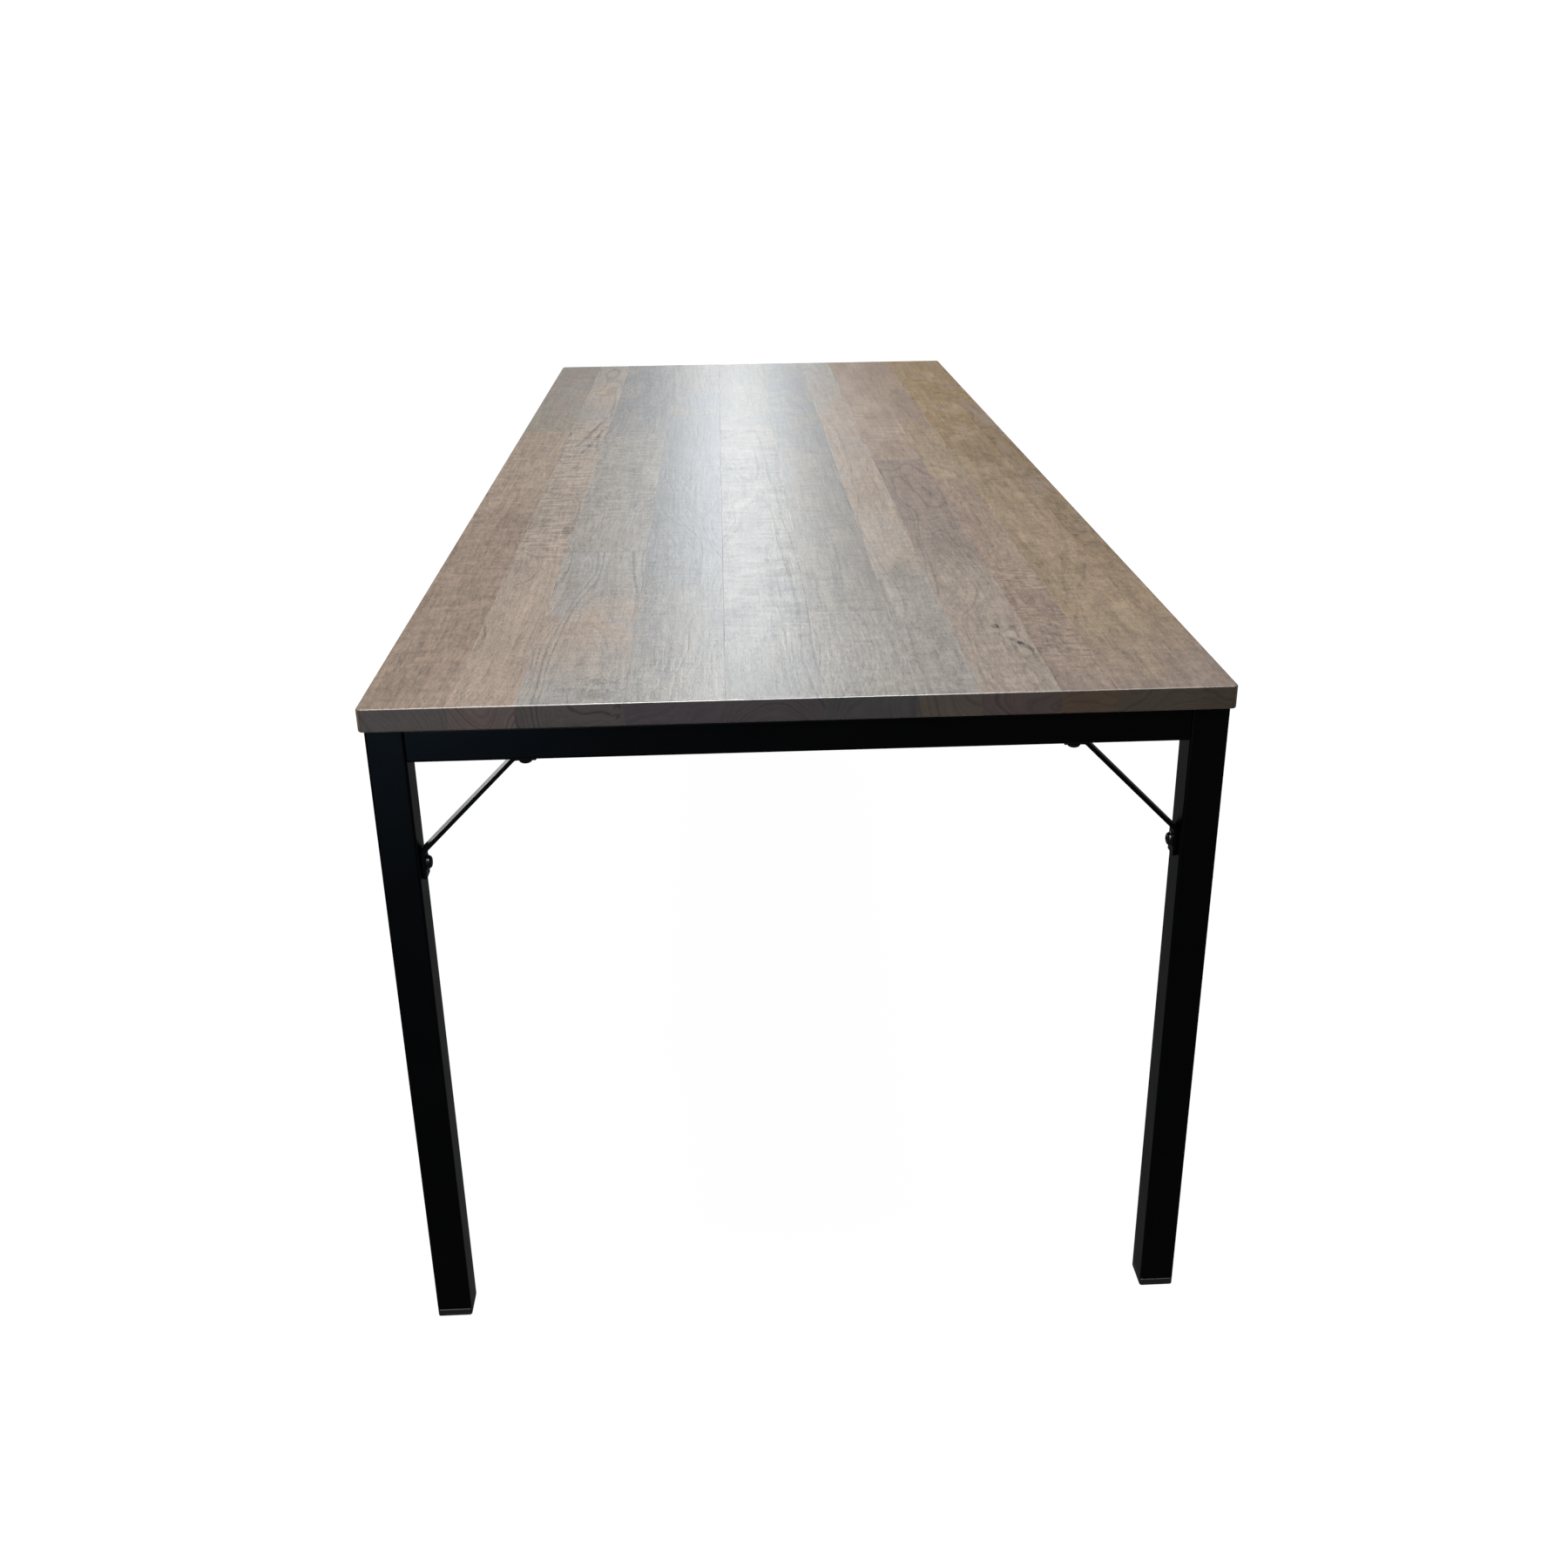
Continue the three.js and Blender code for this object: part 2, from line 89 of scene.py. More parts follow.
def loft(rings, closed=False):
    """Quads from each ring of points to the next, with the end rings capped, or joined if closed."""
    mesh = bmesh.new()
    rows = [[mesh.verts.new(point) for point in points] for points in rings]
    pairs = list(zip(rows, rows[1:]))
    if closed:
        pairs.append((rows[-1], rows[0]))
    for low, high in pairs:
        for here in range(len(low)):
            beside = (here + 1) % len(low)
            mesh.faces.new((low[here], low[beside], high[beside], high[here]))
    if not closed:
        mesh.faces.new(rows[0][::-1])
        mesh.faces.new(rows[-1])
    return mesh


def finished(mesh):
    """Faces turned outwards and smooth, with crisp edges where the surface turns sharply."""
    bmesh.ops.recalc_face_normals(mesh, faces=mesh.faces)
    for face in mesh.faces:
        face.smooth = True
    for edge in mesh.edges:
        edge.smooth = edge.calc_face_angle(0.0) < SHARP_ANGLE
    return mesh


def add_object(name, mesh):
    data = bpy.data.meshes.new(name)
    mesh.to_mesh(data)
    mesh.free()
    made = bpy.data.objects.new(name, data)
    bpy.context.scene.collection.objects.link(made)
    return made


def drilled(mesh, holes):
    """The mesh with round holes through it, each given as (middle, axis, radius, length)."""
    body = add_object("blank", mesh)
    cutters = []
    for middle, axis, radius, length in holes:
        pin = loft([circle(radius, end * length / 2, HOLE_SIDES) for end in (-1, 1)])
        turn = Vector((0, 0, 1)).rotation_difference(axis).to_matrix().to_4x4()
        bmesh.ops.transform(pin, matrix=Matrix.Translation(middle) @ turn, verts=pin.verts)
        bmesh.ops.recalc_face_normals(pin, faces=pin.faces)
        cutter = add_object("cutter", pin)
        hole = body.modifiers.new("hole", "BOOLEAN")
        hole.operation = "DIFFERENCE"
        hole.solver = "EXACT"
        hole.object = cutter
        cutters.append(cutter)
    bpy.context.view_layer.update()
    evaluated = body.evaluated_get(bpy.context.evaluated_depsgraph_get())
    result = bmesh.new()
    result.from_mesh(evaluated.to_mesh())
    for spare in [body, *cutters]:
        bpy.data.objects.remove(spare)
    return result


def add_piece(node, mesh, place, material):
    """A finished piece that stands for one node of the frame, its mesh placed in the frame."""
    bmesh.ops.transform(mesh, matrix=place, verts=mesh.verts)
    made = add_object(f"{node}_finished", finished(mesh))
    made.data.materials.append(material)
    even = made.modifiers.new("even_shading", "WEIGHTED_NORMAL")
    even.keep_sharp = True
    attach(made, BODY)
    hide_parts(node)
    return made


# -------------------------------------------------------------------------- shader helpers


def colour(code):
    """A colour written as on the web, such as #85766b, as linear red, green, blue, alpha."""
    linear = []
    for start in (1, 3, 5):
        value = int(code[start : start + 2], 16) / 255
        linear.append(value / 12.92 if value <= 0.04045 else ((value + 0.055) / 1.055) ** 2.4)
    return (*linear, 1.0)


class Shader:
    """A material's nodes, with a short method for each kind that is used."""

    def __init__(self, name):
        self.material = bpy.data.materials.new(name)
        self.material.use_nodes = True
        self.tree = self.material.node_tree
        self.surface = self.tree.nodes["Principled BSDF"]

    def feed(self, socket, value):
        if isinstance(value, bpy.types.NodeSocket):
            self.tree.links.new(value, socket)
        else:
            socket.default_value = value

    def add(self, kind, inputs, output=0, **settings):
        """A node with its settings and inputs, as the socket of its output."""
        node = self.tree.nodes.new(kind)
        for key, value in settings.items():
            setattr(node, key, value)
        for socket, value in inputs.items():
            self.feed(node.inputs[socket], value)
        return node.outputs[output]

    def set(self, **inputs):
        """Inputs of the Principled shader, with spaces in their names written as _."""
        for key, value in inputs.items():
            self.feed(self.surface.inputs[key.replace("_", " ")], value)

    def place(self):
        """Where a point is in the frame, in millimetres."""
        point = self.add("ShaderNodeTexCoord", {}, output="Object")
        return self.scaled(point, (1 / MM, 1 / MM, 1 / MM))

    def scaled(self, vector, scale, shift=(0, 0, 0)):
        inputs = {"Vector": vector, "Scale": scale, "Location": shift}
        return self.add("ShaderNodeMapping", inputs)

    def parts(self, vector):
        """The x, y and z of a vector."""
        node = self.tree.nodes.new("ShaderNodeSeparateXYZ")
        self.feed(node.inputs[0], vector)
        return tuple(node.outputs)

    def normal_parts(self):
        return self.parts(self.add("ShaderNodeNewGeometry", {}, output="Normal"))

    def math(self, operation, first, second=0.0):
        return self.add("ShaderNodeMath", {0: first, 1: second}, operation=operation)

    def plus(self, *values):
        total = values[0]
        for value in values[1:]:
            total = self.math("ADD", total, value)
        return total

    def times(self, first, second):
        return self.math("MULTIPLY", first, second)

    def swing(self, value, amount):
        """A value from 0 to 1 as a change from -amount/2 to amount/2."""
        return self.times(self.math("SUBTRACT", value, 0.5), amount)

    def span(self, value, low, high):
        """0 at low and 1 at high, with a smooth change between."""
        inputs = {"Value": value, "From Min": low, "From Max": high}
        return self.add("ShaderNodeMapRange", inputs, interpolation_type="SMOOTHSTEP")

    def spread(self, noise, amount):
        """A noise as a change of at most amount/2 up or down, without rare strong spots."""
        return self.swing(self.span(noise, 0.3, 0.7), amount)

    def noise(self, place, size, detail=2.0, roughness=0.5, distortion=0.0):
        """Noise from 0 to 1, its grains as large as size, in millimetres along x, y and z."""
        inputs = {
            "Vector": self.scaled(place, tuple(1 / side for side in size)),
            "Scale": 1.0,
            "Detail": detail,
            "Roughness": roughness,
            "Distortion": distortion,
        }
        return self.add("ShaderNodeTexNoise", inputs)

    def lines(self, value, size):
        """Noise from 0 to 1 along a single value, its grains as long as size."""
        inputs = {"W": self.times(value, 1 / size), "Scale": 1.0, "Detail": 2.0}
        return self.add("ShaderNodeTexNoise", inputs, noise_dimensions="1D")

    def tones(self, value, stops):
        """A colour that goes through (value, colour) stops, over the table's length."""
        node = self.tree.nodes.new("ShaderNodeValToRGB")
        self.feed(node.inputs[0], self.times(value, 1 / TABLE_LENGTH))
        ramp = node.color_ramp
        ramp.interpolation = "EASE"
        while len(ramp.elements) < len(stops):
            ramp.elements.new(1.0)
        while len(ramp.elements) > len(stops):
            ramp.elements.remove(ramp.elements[-1])
        for element, (at, code) in zip(ramp.elements, stops):
            element.position = at / TABLE_LENGTH
            element.color = colour(code)
        return node.outputs[0]

    def blend(self, amount, first, second):
        """One colour turning into another as amount goes from 0 to 1."""
        node = self.tree.nodes.new("ShaderNodeMix")
        node.data_type = "RGBA"
        self.feed(node.inputs["Factor"], amount)
        self.feed(node.inputs[6], first)
        self.feed(node.inputs[7], second)
        return node.outputs[2]

    def brighter(self, tint, factor):
        plain = isinstance(tint, tuple)
        inputs = {0: tint[:3] if plain else tint, "Scale": factor}
        return self.add("ShaderNodeVectorMath", inputs, operation="SCALE")

    def bump(self, height, depth):
        """A bumpy normal from a height of 0 to 1 that stands for depth, in millimetres."""
        inputs = {"Height": height, "Strength": 1.0, "Distance": depth * MM}
        return self.add("ShaderNodeBump", inputs)


# ------------------------------------------------------------------------------- materials

# Stain colours of the staves
TAUPE = "#8f7c6c"
SAND = "#998879"
MUSHROOM = "#93867a"
PEARL = "#918b84"
ROSY = "#8b786a"
PLUM = "#807066"
SAGE = "#8a8377"
STONE = "#88827b"
SLATE = "#807e7d"
UMBER = "#80736a"
HONEY = "#92806a"
OCHRE = "#8c7861"
AMBER = "#8c7554"
OLIVE = "#7f6b51"

TABLE_WIDTH = 900.0  # in millimetres
TABLE_LENGTH = 2400.0
WOOD_MIDDLE_Z = 762.5  # the middle of the top's thickness, in millimetres


class Look:
    """What one stave looks like. Distances are in millimetres from the top's near left corner.
    tones are (distance along Y, colour), patch is one more tone, in patches, and end is the
    colour of the end grain. rings is the growth rings' contrast and spacing, pith where the
    middle of the log would be, across from the left edge and below the middle of the top's
    thickness, and rise how fast that depth changes along Y. ripples are (strength,
    pitch) of the figure across the grain, and rippled is where along Y it is. marks are
    (x, y, across, along, lean, strength): dark spots, or pale ones where strength is below 0.
    swirls are (x, y, across, along, push) and bend the rings round a point."""

    def __init__(self, tones, patch, end, rings=(0.15, 4.5), pith=(450, 90), rise=0.02,
                 ripples=(0.8, 10), rippled=(-200, 2600), marks=(), swirls=()):
        self.tones = tones
        self.patch = patch
        self.end = end
        self.ring_contrast, self.ring_spacing = rings
        self.pith_x, self.pith_depth = pith
        self.rise = rise
        self.ripple_strength, self.ripple_pitch = ripples
        self.rippled = rippled
        self.marks = marks
        self.swirls = swirls


LOOKS = {
    "stave_1_near": Look(
        [(0, TAUPE), (700, ROSY), (1100, SAND)], ROSY, "#625853", pith=(-60, 60),
        ripples=(1.1, 14),
    ),
    "stave_1_far": Look(
        [(1600, SAGE), (1900, STONE)], UMBER, "#625853", rings=(0.2, 4.0), pith=(50, 120),
        rise=0.08,
    ),
    "stave_2": Look(
        [(0, SAND), (900, MUSHROOM), (1600, PEARL)], SAND, "#736159", rings=(0.28, 4.0),
        pith=(126, 14), rise=0.03, ripples=(2.4, 11), rippled=(500, 1600),
        marks=[(150, 740, 9, 44, 0.0, 0.4), (140, 1610, 4, 70, 0.14, 0.4),
               (131, 1530, 4, 80, 0.14, 0.4), (146, 1500, 4, 90, 0.12, 0.4),
               (122, 1440, 4, 80, 0.16, 0.3), (136, 1390, 4, 90, 0.14, 0.35)],
        swirls=[(150, 1450, 30, 170, 22)],
    ),
    "stave_3_near": Look(
        [(0, PEARL), (240, SAND), (480, PEARL)], SLATE, "#5c514b", rings=(0.34, 4.5),
        pith=(230, 70), rise=0.04, marks=[(180, 480, 16, 70, 0.0, 0.12)],
        swirls=[(232, 20, 42, 95, 30)],
    ),
    "stave_3_far": Look(
        [(620, PEARL), (1300, PEARL), (1700, SLATE)], STONE, "#574d47",
        pith=(300, 110), ripples=(1.7, 10), rippled=(700, 1500),
    ),
    "stave_4_near": Look(
        [(0, PEARL), (300, STONE), (600, SLATE)], SLATE, "#52474a", pith=(420, 140),
    ),
    "stave_4_far": Look(
        [(1700, SLATE), (2300, STONE)], SAGE, "#52474a", pith=(230, 90),
        marks=[(288, 1692, 20, 9, 0.0, 0.25)],
    ),
    "stave_5": Look(
        [(0, STONE), (1300, SAGE)], SLATE, "#4f4547", rings=(0.26, 4.5), pith=(420, 50),
        ripples=(2.0, 14), rippled=(100, 1500),
    ),
    "stave_6_near": Look([(0, PEARL)], STONE, "#4b4747", pith=(600, 90)),
    "stave_6_far": Look([(300, STONE), (2300, SLATE)], SAGE, "#4b4747", pith=(480, 130)),
    "stave_7_near": Look(
        [(0, STONE), (380, STONE), (620, SAND), (1300, SAND)], PEARL, "#605449",
        rings=(0.24, 7.0), pith=(760, 40),
    ),
    "stave_7_far": Look(
        [(1670, SAND), (2200, PEARL)], PEARL, "#605449", pith=(600, 80),
        marks=[(600, 1800, 26, 8, 1.5, 0.2)],
    ),
    "stave_8_near": Look(
        [(0, MUSHROOM), (420, MUSHROOM), (620, UMBER), (1100, PLUM)], PLUM, "#5c4b46",
        rings=(0.32, 4.5), pith=(690, 60), rise=0.06,
        marks=[(684, 228, 5.5, 9, 0.0, 0.6), (702, 220, 6, 13, 0.35, 0.6),
               (698, 172, 5, 16, -0.5, 0.5), (706, 152, 6, 17, -0.35, 0.6),
               (711, 118, 3, 26, 0.0, 0.35), (694, 196, 9, 12, 0.2, -0.25)],
        swirls=[(704, 185, 34, 90, 16)],
    ),
    "stave_8_far": Look(
        [(1200, TAUPE), (2200, TAUPE)], SAND, "#5c4b46", pith=(610, 100), ripples=(1.6, 10),
        rippled=(1200, 1600),
        marks=[(692, 1530, 28, 6, 0.0, 0.35), (676, 1500, 5, 7, 0.0, -0.25)],
    ),
    "stave_9_near": Look(
        [(0, PLUM), (300, ROSY), (1000, ROSY)], TAUPE, "#604b38", pith=(780, 70),
        ripples=(2.8, 5.5), rippled=(0, 420),
    ),
    "stave_9_far": Look(
        [(1040, HONEY), (1450, HONEY), (1650, ROSY), (2200, TAUPE)], HONEY, "#604b38",
        pith=(810, 90),
    ),
    "stave_10": Look(
        [(0, PLUM), (300, OCHRE), (900, OCHRE), (1100, OLIVE), (1700, AMBER)], HONEY, "#554939",
        rings=(0.2, 5.0), pith=(850, 150), rise=0.05, marks=[(840, 140, 22, 20, 0.0, -0.16)],
    ),
    "stave_11": Look(
        [(0, PLUM), (300, OCHRE), (700, OLIVE), (1500, OLIVE), (1900, AMBER)], PLUM, "#4f4333",
        rings=(0.24, 5.0), pith=(880, 90), rise=0.05,
    ),
}


SEED_STEPS = (311.0, 173.0, 97.0)  # how far apart two staves lie in the noises, in millimetres

# The noises in the wood, with their grains' size along x, y and z in millimetres
WOOD_NOISES = {
    "wander": dict(size=(80, 420, 80), detail=1),
    "drift": dict(size=(50, 220, 50), detail=3, roughness=0.55),
    "mottle": dict(size=(20, 30, 20), detail=4, roughness=0.65),
    "fleck": dict(size=(5, 30, 5), detail=2, roughness=0.6),
    "speck": dict(size=(2.0, 8, 2.0), detail=2, roughness=0.6),
    "fibre": dict(size=(6, 170, 6), detail=3, roughness=0.65),
    "pore": dict(size=(0.55, 7, 0.55), detail=1),
    "end_grain": dict(size=(0.7, 5, 0.7), detail=2),
}
PORE_EDGE = (0.6, 0.72)  # the noise at which a pore starts, and at which it is full
RAGGED_EDGE = 1.6  # how far the mottle moves the edge of a spot
SPOT_EDGE = (1.3, 0.1)  # the squared distance at which a spot ends, and at which it is full

PITH_WANDER_ACROSS = 110.0  # how far the middle of the log wanders, in millimetres
PITH_WANDER_DOWN = -70.0
LATEWOOD_EDGE = (0.42, 0.78)  # the noise at which latewood starts, and is darkest

RIPPLE_STRETCH = 3  # a ripple's size across the grain, in pitches
RIPPLE_FADE = 150.0  # over how many millimetres the ripples start and stop
RIPPLED_DRIFT = (0.2, 0.5)  # the drift at which ripples start to show, and show fully

GLUE_RIM = (2.0, 0.5)  # in millimetres from a stave's edge
GLUE_SIZE = (400, 130, 400)
GLUE_SHADE = -0.02
GLUE_SPREAD = 0.5

TONE_DRIFT = 300.0  # over how many millimetres the tones wander along the stave
PATCH_MOTTLE = 0.3
PATCH_EDGE = (0.4, 0.7)
PATCH_STRENGTH = 0.7

# How the face's brightness changes with the rings, the figure and the noises
FACE_SHADE = 1.13
RING_BALANCE = 0.35
RIPPLE_SHADE = 0.22
FACE_SPREAD = {"drift": 0.13, "mottle": 0.17, "fleck": 0.26, "speck": 0.4, "fibre": 0.25}
PORE_SHADE = -0.05

# The same on the sawn ends
END_SHADE = 1.06
END_RINGS = 1.7
END_GRAIN_SWING = 0.3
END_MOTTLE_SWING = 0.5
END_TURN = (0.8, 0.95)  # the normal's Y at which a face starts to be an end, and is wholly one

# Heights in the bump, in parts of its depth
SPECK_HEIGHT = 0.3
FIBRE_HEIGHT = 0.4
PORE_HEIGHT = -0.1
LATE_HEIGHT = -0.15
FLECK_HEIGHT = 0.5
RIPPLE_HEIGHT = 0.6
BUMP_DEPTH = 0.3  # in millimetres

LACQUER_ROUGHNESS = 0.345
ROUGHNESS_SWING = 0.1
END_ROUGHNESS = 0.12  # how much rougher the sawn ends are


class Grain:
    """What a stave's colour, gloss and height share: where a point lies, and the wood's noises."""

    def __init__(self, s, look, seed):
        place = s.place()
        self.own = s.scaled(place, (1, 1, 1), tuple(seed * step for step in SEED_STEPS))
        self.x, self.y, self.z = s.parts(place)
        self.from_left = s.plus(self.x, TABLE_WIDTH / 2)
        self.from_near = s.plus(self.y, TABLE_LENGTH / 2)
        self.noise = {name: s.noise(self.own, **form) for name, form in WOOD_NOISES.items()}
        self.pore = s.span(self.noise["pore"], *PORE_EDGE)
        self.ragged = s.swing(self.noise["mottle"], RAGGED_EDGE)
        self.late = growth_rings(s, look, self)
        self.ripple = ripple_noise(s, look, self)
        self.rippled = rippled_area(s, look, self)


def spot(s, grain, middle, reach, lean):
    """1 in the middle of an ellipse and 0 outside it, its edge made ragged by a noise."""
    beside = s.math("SUBTRACT", grain.from_left, middle[0])
    beyond = s.math("SUBTRACT", grain.from_near, middle[1])
    across = s.times(s.math("SUBTRACT", beside, s.times(beyond, lean)), 1 / reach[0])
    along = s.times(beyond, 1 / reach[1])
    squared = s.plus(s.times(across, across), s.times(along, along), grain.ragged)
    return s.span(squared, *SPOT_EDGE)


def growth_rings(s, look, grain):
    """Dark latewood lines, unevenly spaced, where the board cuts through the log's rings."""
    wander = grain.noise["wander"]
    across = s.plus(grain.from_left, -look.pith_x, s.swing(wander, PITH_WANDER_ACROSS))
    depth = s.plus(
        grain.z, look.pith_depth - WOOD_MIDDLE_Z, s.times(grain.y, look.rise),
        s.swing(wander, PITH_WANDER_DOWN),
    )
    radius = s.math("SQRT", s.plus(s.times(across, across), s.times(depth, depth)))
    for at_x, at_y, half_width, half_length, push in look.swirls:
        swirl = spot(s, grain, (at_x, at_y), (half_width, half_length), 0.0)
        radius = s.plus(radius, s.times(swirl, push))
    return s.span(s.lines(radius, look.ring_spacing), *LATEWOOD_EDGE)


def ripple_noise(s, look, grain):
    """The figure across the grain, as a noise drawn out sideways."""
    pitch = look.ripple_pitch
    size = (pitch * RIPPLE_STRETCH, pitch, pitch * RIPPLE_STRETCH)
    return s.noise(grain.own, size, detail=1.5, distortion=0.3)


def rippled_area(s, look, grain):
    """1 where the stave has its figure and 0 where it hasn't."""
    start, stop = look.rippled
    inside = s.times(
        s.span(grain.from_near, start, start + RIPPLE_FADE),
        s.span(grain.from_near, stop + RIPPLE_FADE, stop),
    )
    return s.times(s.span(grain.noise["drift"], *RIPPLED_DRIFT), inside)


def joint_line(s, grain, low, high):
    """How much a point on a stave's rim is paler, where glue shows, or darker, where stain lies."""
    x, y = grain.x, grain.y
    beside = s.math("MINIMUM", s.plus(x, -low.x / MM), s.plus(high.x / MM, s.times(x, -1.0)))
    beyond = s.math("MINIMUM", s.plus(y, -low.y / MM), s.plus(high.y / MM, s.times(y, -1.0)))
    rim = s.span(s.math("MINIMUM", beside, beyond), *GLUE_RIM)
    filling = s.noise(grain.own, GLUE_SIZE, detail=2)
    return s.times(rim, s.plus(GLUE_SHADE, s.spread(filling, GLUE_SPREAD)))


def stain(s, look, grain):
    """The stave's tones along its length, with patches of one more tone."""
    drift = grain.noise["drift"]
    tint = s.tones(s.plus(grain.from_near, s.swing(drift, TONE_DRIFT)), look.tones)
    patchy = s.plus(drift, s.swing(grain.noise["mottle"], PATCH_MOTTLE))
    amount = s.times(s.span(patchy, *PATCH_EDGE), PATCH_STRENGTH)
    return s.blend(amount, tint, colour(look.patch))


def face_shade(s, look, grain, low, high):
    """How bright the stain is along the grain, as a factor."""
    shade = s.plus(
        FACE_SHADE, s.times(grain.late, -look.ring_contrast), look.ring_contrast * RING_BALANCE,
        s.times(s.spread(grain.ripple, look.ripple_strength * RIPPLE_SHADE), grain.rippled),
        *(s.spread(grain.noise[name], amount) for name, amount in FACE_SPREAD.items()),
        s.times(grain.pore, PORE_SHADE), joint_line(s, grain, low, high),
    )
    for at_x, at_y, across, along, lean, strength in look.marks:
        mark = spot(s, grain, (at_x, at_y), (across, along), lean)
        shade = s.plus(shade, s.times(mark, -strength))
    return shade


def end_shade(s, look, grain):
    """How bright the stain is on the sawn ends, as a factor."""
    return s.plus(
        END_SHADE, s.times(grain.late, -END_RINGS * look.ring_contrast),
        s.swing(grain.noise["end_grain"], END_GRAIN_SWING),
        s.swing(grain.noise["mottle"], END_MOTTLE_SWING),
    )


def surface_height(s, look, grain):
    """The lacquer's height over specks, fibres, pores, rings and ripples."""
    return s.plus(
        s.times(grain.noise["speck"], SPECK_HEIGHT), s.times(grain.noise["fibre"], FIBRE_HEIGHT),
        s.times(grain.pore, PORE_HEIGHT), s.times(grain.late, LATE_HEIGHT),
        s.times(grain.noise["fleck"], FLECK_HEIGHT),
        s.times(s.times(grain.ripple, grain.rippled), look.ripple_strength * RIPPLE_HEIGHT),
    )


def wood(name, look, seed, low, high):
    """Stained and lacquered hardwood, cut from a log whose grain runs along Y."""
    s = Shader(f"wood_{name}")
    grain = Grain(s, look, seed)
    face_tint = s.brighter(stain(s, look, grain), face_shade(s, look, grain, low, high))
    end_tint = s.brighter(colour(look.end), end_shade(s, look, grain))
    end = s.span(s.math("ABSOLUTE", s.normal_parts()[1]), *END_TURN)
    roughness = s.plus(
        LACQUER_ROUGHNESS, s.swing(grain.noise["drift"], ROUGHNESS_SWING),
        s.swing(grain.noise["fleck"], ROUGHNESS_SWING), s.times(end, END_ROUGHNESS),
    )
    s.set(
        Base_Color=s.blend(end, face_tint, end_tint),
        Roughness=roughness,
        Normal=s.bump(surface_height(s, look, grain), BUMP_DEPTH),
        IOR=1.5,
    )
    return s.material


def powder_coat():
    """Black satin powder coat, with its fine orange-peel and a little dust in it."""
    s = Shader("black_powder_coat")
    place = s.place()
    peel = s.noise(place, (1.3, 1.3, 1.3), detail=2)
    cloud = s.noise(place, (60, 60, 60), detail=4, roughness=0.6)
    tint = s.blend(s.span(cloud, 0.35, 0.75), colour("#020203"), colour("#030304"))
    s.set(
        Base_Color=tint,
        Roughness=s.plus(0.32, s.swing(cloud, 0.16), s.swing(peel, 0.06)),
        Normal=s.bump(peel, 0.02),
        Specular_IOR_Level=0.1,
    )
    return s.material


def blackened_steel():
    """Oxide-blackened bolt steel, bare in small rubs."""
    s = Shader("black_bolt_steel")
    place = s.place()
    grain = s.noise(place, (0.5, 0.5, 0.5), detail=3)
    rub = s.span(s.noise(place, (3, 3, 3), detail=4, roughness=0.7), 0.6, 0.75)
    s.set(
        Base_Color=s.blend(rub, colour("#1c1c1f"), colour("#4c4a48")),
        Metallic=0.7,
        Roughness=s.plus(0.32, s.swing(grain, 0.15)),
        Normal=s.bump(grain, 0.015),
    )
    return s.material


def foot_plastic():
    """Black moulded plastic with a fine spark finish, scuffed, with dust and a painted highlight
    near the floor.
    """
    s = Shader("foot_plastic")
    place = s.place()
    z = s.parts(place)[2]
    spark = s.noise(place, (0.4, 0.4, 0.4), detail=2)
    scuff = s.noise(place, (4, 4, 1.5), detail=4, roughness=0.7)
    low = s.span(z, 5.0, 0.0)
    # paler near the floor: partly dust, partly a painted highlight that stands for the light the
    # feet catch
    dust_and_highlight = s.times(s.span(scuff, 0.45, 0.7), low)
    s.set(
        # this beige is dust and a painted highlight together
        Base_Color=s.blend(dust_and_highlight, colour("#151516"), colour("#6d675d")),
        Roughness=s.plus(0.5, s.swing(spark, 0.15), s.times(dust_and_highlight, 0.2)),
        Normal=s.bump(spark, 0.02),
        Specular_IOR_Level=0.4,
    )
    return s.material


def zinc():
    """Passivated zinc on the wood screws."""
    s = Shader("zinc_screw")
    place = s.place()
    bloom = s.noise(place, (1.2, 1.2, 1.2), detail=4, roughness=0.65)
    s.set(
        Base_Color=s.blend(bloom, colour("#b8b09a"), colour("#8f8c86")),
        Metallic=1.0,
        Roughness=s.plus(0.3, s.swing(bloom, 0.2)),
        Normal=s.bump(bloom, 0.02),
    )
    return s.material


# --------------------------------------------------------------------------------- the top

TOP_EDGE_ROUND = 1.5 * MM
TOP_CORNER_ROUND = 6 * MM
SEAM_ARRIS = 0.22 * MM  # the eased edge on each side of a seam
SAWN_ANGLE = math.radians(60)  # edges of a stave that turn by more than this are eased
ROUND_STEPS = 6


def top_slab(low, high):
    """The whole top between two corners, its outer edges rounded over."""
    half = (high - low) / 2
    middle = (high + low) / 2
    rings = []
    for side, base in ((-1, low.z), (1, high.z)):
        steps = range(ROUND_STEPS + 1) if side < 0 else range(ROUND_STEPS, -1, -1)
        for step in steps:
            angle = step / ROUND_STEPS * math.pi / 2
            inset = TOP_EDGE_ROUND * (1 - math.sin(angle))
            z = base - side * TOP_EDGE_ROUND * (1 - math.cos(angle))
            outline = rounded_rectangle(
                half.x - inset, half.y - inset, TOP_CORNER_ROUND - inset, ROUND_STEPS
            )
            rings.append([point + Vector((middle.x, middle.y, 0)) for point in level(outline, z)])
    return loft(rings)


def cut_away(mesh, point, outwards):
    """Takes off what lies beyond a plane and closes the cut."""
    everything = [*mesh.verts, *mesh.edges, *mesh.faces]
    cut = bmesh.ops.bisect_plane(
        mesh, geom=everything, plane_co=point, plane_no=outwards, clear_outer=True
    )
    rim = [part for part in cut["geom_cut"] if isinstance(part, bmesh.types.BMEdge)]
    bmesh.ops.contextual_create(mesh, geom=rim)


